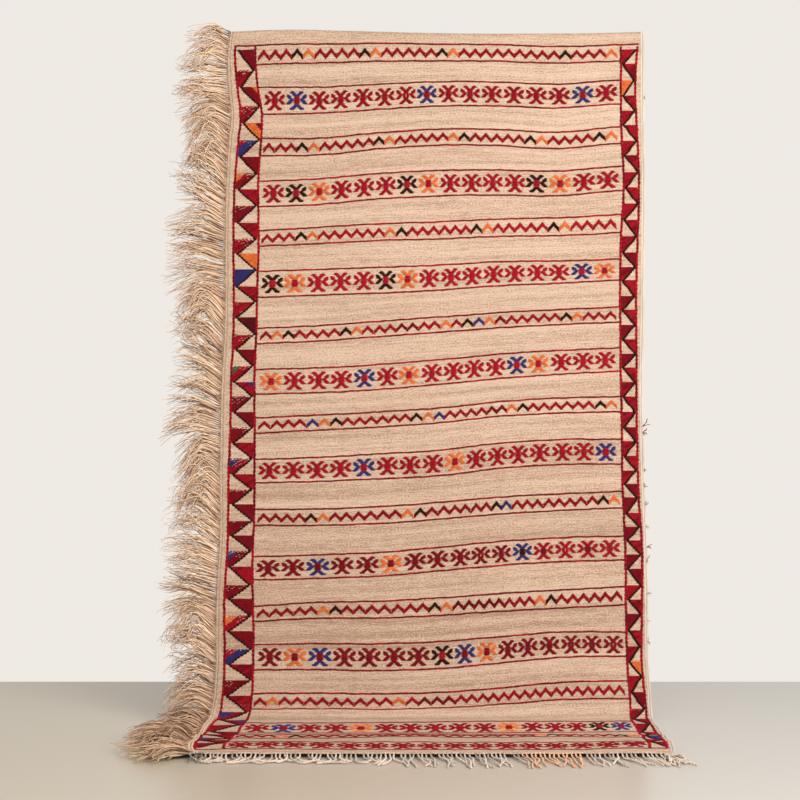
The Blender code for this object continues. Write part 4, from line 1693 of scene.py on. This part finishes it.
# %% The path of one yarn
def run_along(angles, stride):
    """How far sideways and forward a yarn has come at each of its points."""
    side = np.concatenate([[0], np.cumsum(np.sin(angles[1:]) * stride)])
    ahead = np.concatenate([[0], np.cumsum(np.cos(angles[1:]) * stride)])
    return side, ahead


def tassel_path(root, across, length, angles, bow):
    """One yarn from the mat's end: it drops to the floor and runs on along its angles."""
    part = np.linspace(0, 1, TASSEL_POINTS)
    side, ahead = run_along(angles, length / (TASSEL_POINTS - 1))
    start_height = max(root[2] - FLOOR - 0.002, 0.002)
    height = start_height * np.clip(1 - part / 0.22, 0, 1) ** 1.3 + PLY_RADIUS + PLY_HALF_WIDTH
    height = height + bow * np.sin(part * math.pi) ** 2
    forward = np.maximum(root[1] + 0.004 - ahead, FRONT_LIMIT)
    return np.stack([across + side, forward, FLOOR + height], axis=1)


print("made: run_along and tassel_path")


# %% The paths of all yarns
def bunched_paths(random, left, right):
    pitch = (right - left) / BUNCHES
    part = np.linspace(0, 1, TASSEL_POINTS)
    paths = []
    for bunch in range(BUNCHES):
        middle = left + pitch * (bunch + 0.5) + random.uniform(-0.005, 0.005)
        share = (middle - left) / (right - left)
        curly = 1 - ease((share - CURLY_TO) / CURLY_FADE)
        lean = 0.02 + 0.30 * share + random.uniform(-0.14, 0.14)
        gather = random.uniform(-0.3, 0.9)
        for yarn in range(YARNS_IN_BUNCH):
            aside = ((yarn + 0.5) / YARNS_IN_BUNCH - 0.5) * pitch * 0.92
            across = float(np.clip(middle + aside, left + 0.002, right - 0.004))
            root = middle_points(min(across, float(right_edge(LENGTH))), LENGTH)
            length = TASSEL_LENGTH * random.uniform(0.70, 1.15) * (1 - 0.2 * curly)
            own_lean = lean + random.uniform(-0.13, 0.13) - gather * aside / 0.05
            hook = random.uniform(-1.0, 0.8) + curly * random.choice([-4.2, 3.6])
            angles = own_lean * np.minimum(part / 0.3, 1) + hook * np.maximum(part - 0.5, 0)
            angles = angles + 0.20 * np.sin(7 * part + random.uniform(0, 6)) * np.minimum(part / 0.2, 1)
            paths.append(tassel_path(root, across, length, angles, 0.005 * random.uniform(0, 1)))
    return paths


def corner_paths(random, right):
    part = np.linspace(0, 1, TASSEL_POINTS)
    root = middle_points(float(right_edge(LENGTH)), LENGTH)
    paths = []
    for yarn in range(CORNER_YARNS):
        across = right - 0.002 - CORNER_SPREAD * yarn / CORNER_YARNS
        length = CORNER_LENGTH * random.uniform(0.55, 1.0)
        angles = (0.42 - 0.05 * yarn) * np.minimum(part / 0.2, 1) + random.uniform(-0.10, 0.10)
        angles = angles + 0.28 * np.sin(9 * part + random.uniform(0, 6)) * part
        paths.append(tassel_path(root, across, length, angles, 0.014 * random.uniform(0, 1)))
    return paths


print("made: bunched_paths and corner_paths")


# %% Making the tassels
def build_tassels():
    random = np.random.default_rng(41)
    left, right = float(left_edge(LENGTH)), float(read_profile("right", LENGTH))
    paths = np.array(bunched_paths(random, left, right) + corner_paths(random, right))
    plies = plies_of(paths, PLY_RADIUS, turns=5.5)
    tones = np.tile(random.uniform(0.05, 0.58, (len(paths), 1)), (2, 1))
    tones[len(paths) - CORNER_YARNS:len(paths)] += 0.35
    # Near the mat's edge the yarns are painted darker, as painted shade under the raised front edge.
    tones = tones + 0.45 * np.linspace(1, 0, TASSEL_POINTS)[None, :] ** 4
    salmon = (plies[:, :1, 0] > SALMON_FROM) & (plies[:, :1, 0] < SALMON_TO)
    tones = np.where(salmon, SALMON_TONE + 0.5 * tones, tones)
    thickness = PLY_HALF_WIDTH * np.ones((len(plies), TASSEL_POINTS))
    piece = sweep_strands("tassel_yarns", plies, thickness, tones, 5, 1.0, YARN)
    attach(piece, "root")
    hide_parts("warp_tassels")
    return piece


tassel_yarns = build_tassels()

# %% [markdown]
# ## The side cords
#
# The right selvedge is two thick cords side by side: bundles of warp that the wefts wrap
# tightly, which shows as a close ridge every few millimetres, with painted shade in the
# groove between two turns.

# %% Side cords
WRAP = 0.0030
CORD_RADIUS = 0.0029
Cord = namedtuple("Cord", "aside scale")
CORDS = (Cord(0.0014, 0.98), Cord(0.0078, 1.16))
RIDGE = 0.16                # how much thinner a cord is between two turns of its wrapping
GROOVE_SHADE = 0.36           # and how much darker it is painted there, as painted shade in the groove


def build_cords():
    drops = np.arange(0.0, LENGTH, WRAP / 2)
    edge = right_edge(drops)
    facing = facing_at(edge, drops)
    paths, thickness, tones = [], [], []
    odd = np.arange(len(drops)) % 2
    for number, cord in enumerate(CORDS):
        middle = middle_points(edge, drops) + np.array([cord.aside + GAP, 0, 0])
        middle = middle + facing * (0.0005 * wander(drops, 0.03, 70 + number))[:, None]
        middle[:, 0] += 0.0006 * wander(drops, 0.02, 80 + number)
        radius = CORD_RADIUS * cord.scale * (1 + 0.10 * wander(drops, 0.04, 90 + number))
        middle[:, 2] = np.maximum(middle[:, 2], FLOOR + radius * 1.02)
        paths.append(middle)
        thickness.append(radius * (1 - RIDGE * odd))
        # Between two turns the cord is painted darker, as painted shade in the groove.
        tones.append(0.27 + 0.14 * wander(drops, 0.05, 95 + number) + GROOVE_SHADE * odd)
    piece = sweep_strands("selvedge_cords", np.array(paths), np.array(thickness), np.array(tones),
                          9, 1.0, YARN)
    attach(piece, "root")
    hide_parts("side_cord")
    return piece


selvedge_cords = build_cords()

# %% [markdown]
# ## Loose ends
#
# Where a skein was joined or a wrap has worn, short ends stick out: tufts of red and brown
# beside the right cord, a dark knot at the top left corner and a small grey tangle at the
# left corner of the foot. Each tuft is a few short strands that start at one place.

# %% Tufts beside the edges
# count: how many ends; reach: their length; turn: the way they point, in degrees from straight
# out, upwards; dyes: the letters they take in turn.
Tuft = namedtuple("Tuft", "edge drop count reach turn dyes")
TUFTS = [
    Tuft("left", 0.006, 5, 0.011, 40, "YY"), Tuft("right", 0.20, 2, 0.006, 20, "N"),
    Tuft("right", 1.205, 4, 0.023, 35, "RN"), Tuft("right", 1.222, 5, 0.014, -10, "RNR"),
    Tuft("right", 1.34, 2, 0.007, 10, "K"), Tuft("right", 1.385, 2, 0.007, 30, "N"),
    Tuft("right", 1.44, 3, 0.011, 25, "NC"), Tuft("right", 1.50, 3, 0.009, -30, "CC"),
    Tuft("right", 1.565, 4, 0.013, 20, "RN"), Tuft("right", 1.60, 3, 0.010, -15, "NC"),
    Tuft("right", 1.70, 3, 0.010, 15, "CN"), Tuft("right", 1.78, 2, 0.009, -25, "C"),
    Tuft("right", 1.84, 3, 0.010, 10, "CN"),
]
TUFT_POINTS = 6
TUFT_HALF_WIDTH = 0.0009
TANGLE_HALF_WIDTH = TUFT_HALF_WIDTH * 1.8
TANGLE_ENDS = 12
print(sum(tuft.count for tuft in TUFTS), "ends in tufts and", TANGLE_ENDS, "in the tangle")


# %% Their paths
def tuft_paths(random):
    part = np.linspace(0, 1, TUFT_POINTS)
    paths, dyes = [], []
    for tuft in TUFTS:
        sign = -1 if tuft.edge == "left" else 1
        across = float(read_profile(tuft.edge, tuft.drop)) - sign * 0.004
        root = face_points(across, tuft.drop, lift=0.0045)
        for end in range(tuft.count):
            turn = math.radians(tuft.turn) + random.uniform(-0.9, 0.9) + random.uniform(-1, 1) * part
            out = part * (tuft.reach * random.uniform(0.6, 1.1) + 0.003)
            front = random.uniform(-0.2, 0.5) * out
            paths.append(root + np.stack([sign * np.cos(turn) * out, -front, np.sin(turn) * out], axis=1))
            dyes.append(tuft.dyes[end % len(tuft.dyes)])
    return paths, dyes


def tangle_paths(random):
    """The grey ends that lie on the floor at the foot's left corner."""
    part = np.linspace(0, 1, TUFT_POINTS)
    root = middle_points(float(left_edge(LENGTH)), LENGTH)
    paths, dyes = [], []
    for end in range(TANGLE_ENDS):
        turn = random.uniform(-1.4, 1.2) + random.uniform(-3.2, 3.2) * part
        side, ahead = run_along(turn, random.uniform(0.040, 0.075) / (TUFT_POINTS - 1))
        height = root[2] * (1 - part) + (FLOOR + 0.003) * part + 0.006 * np.sin(part * math.pi)
        start = root[0] + random.uniform(-0.010, 0.020)
        paths.append(np.stack([start + side, root[1] - 0.002 - ahead, height], axis=1))
        dyes.append("YYYC"[end % 4])
    return paths, dyes


print("made: tuft_paths and tangle_paths")


# %% Making the loose ends
def build_loose_ends():
    random = np.random.default_rng(51)
    tufts, tuft_dyes = tuft_paths(random)
    tangle, tangle_dyes = tangle_paths(random)
    paths = np.array(tufts + tangle)
    widths = [TUFT_HALF_WIDTH] * len(tufts) + [TANGLE_HALF_WIDTH] * len(tangle)
    piece = sweep_strands("loose_ends", paths, np.array(widths)[:, None], 0.3, 4, 1.0, WOOL,
                          tuft_dyes + tangle_dyes)
    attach(piece, "root")
    return piece


loose_ends = build_loose_ends()

# %% All pieces made
print("all pieces of the mat are made")
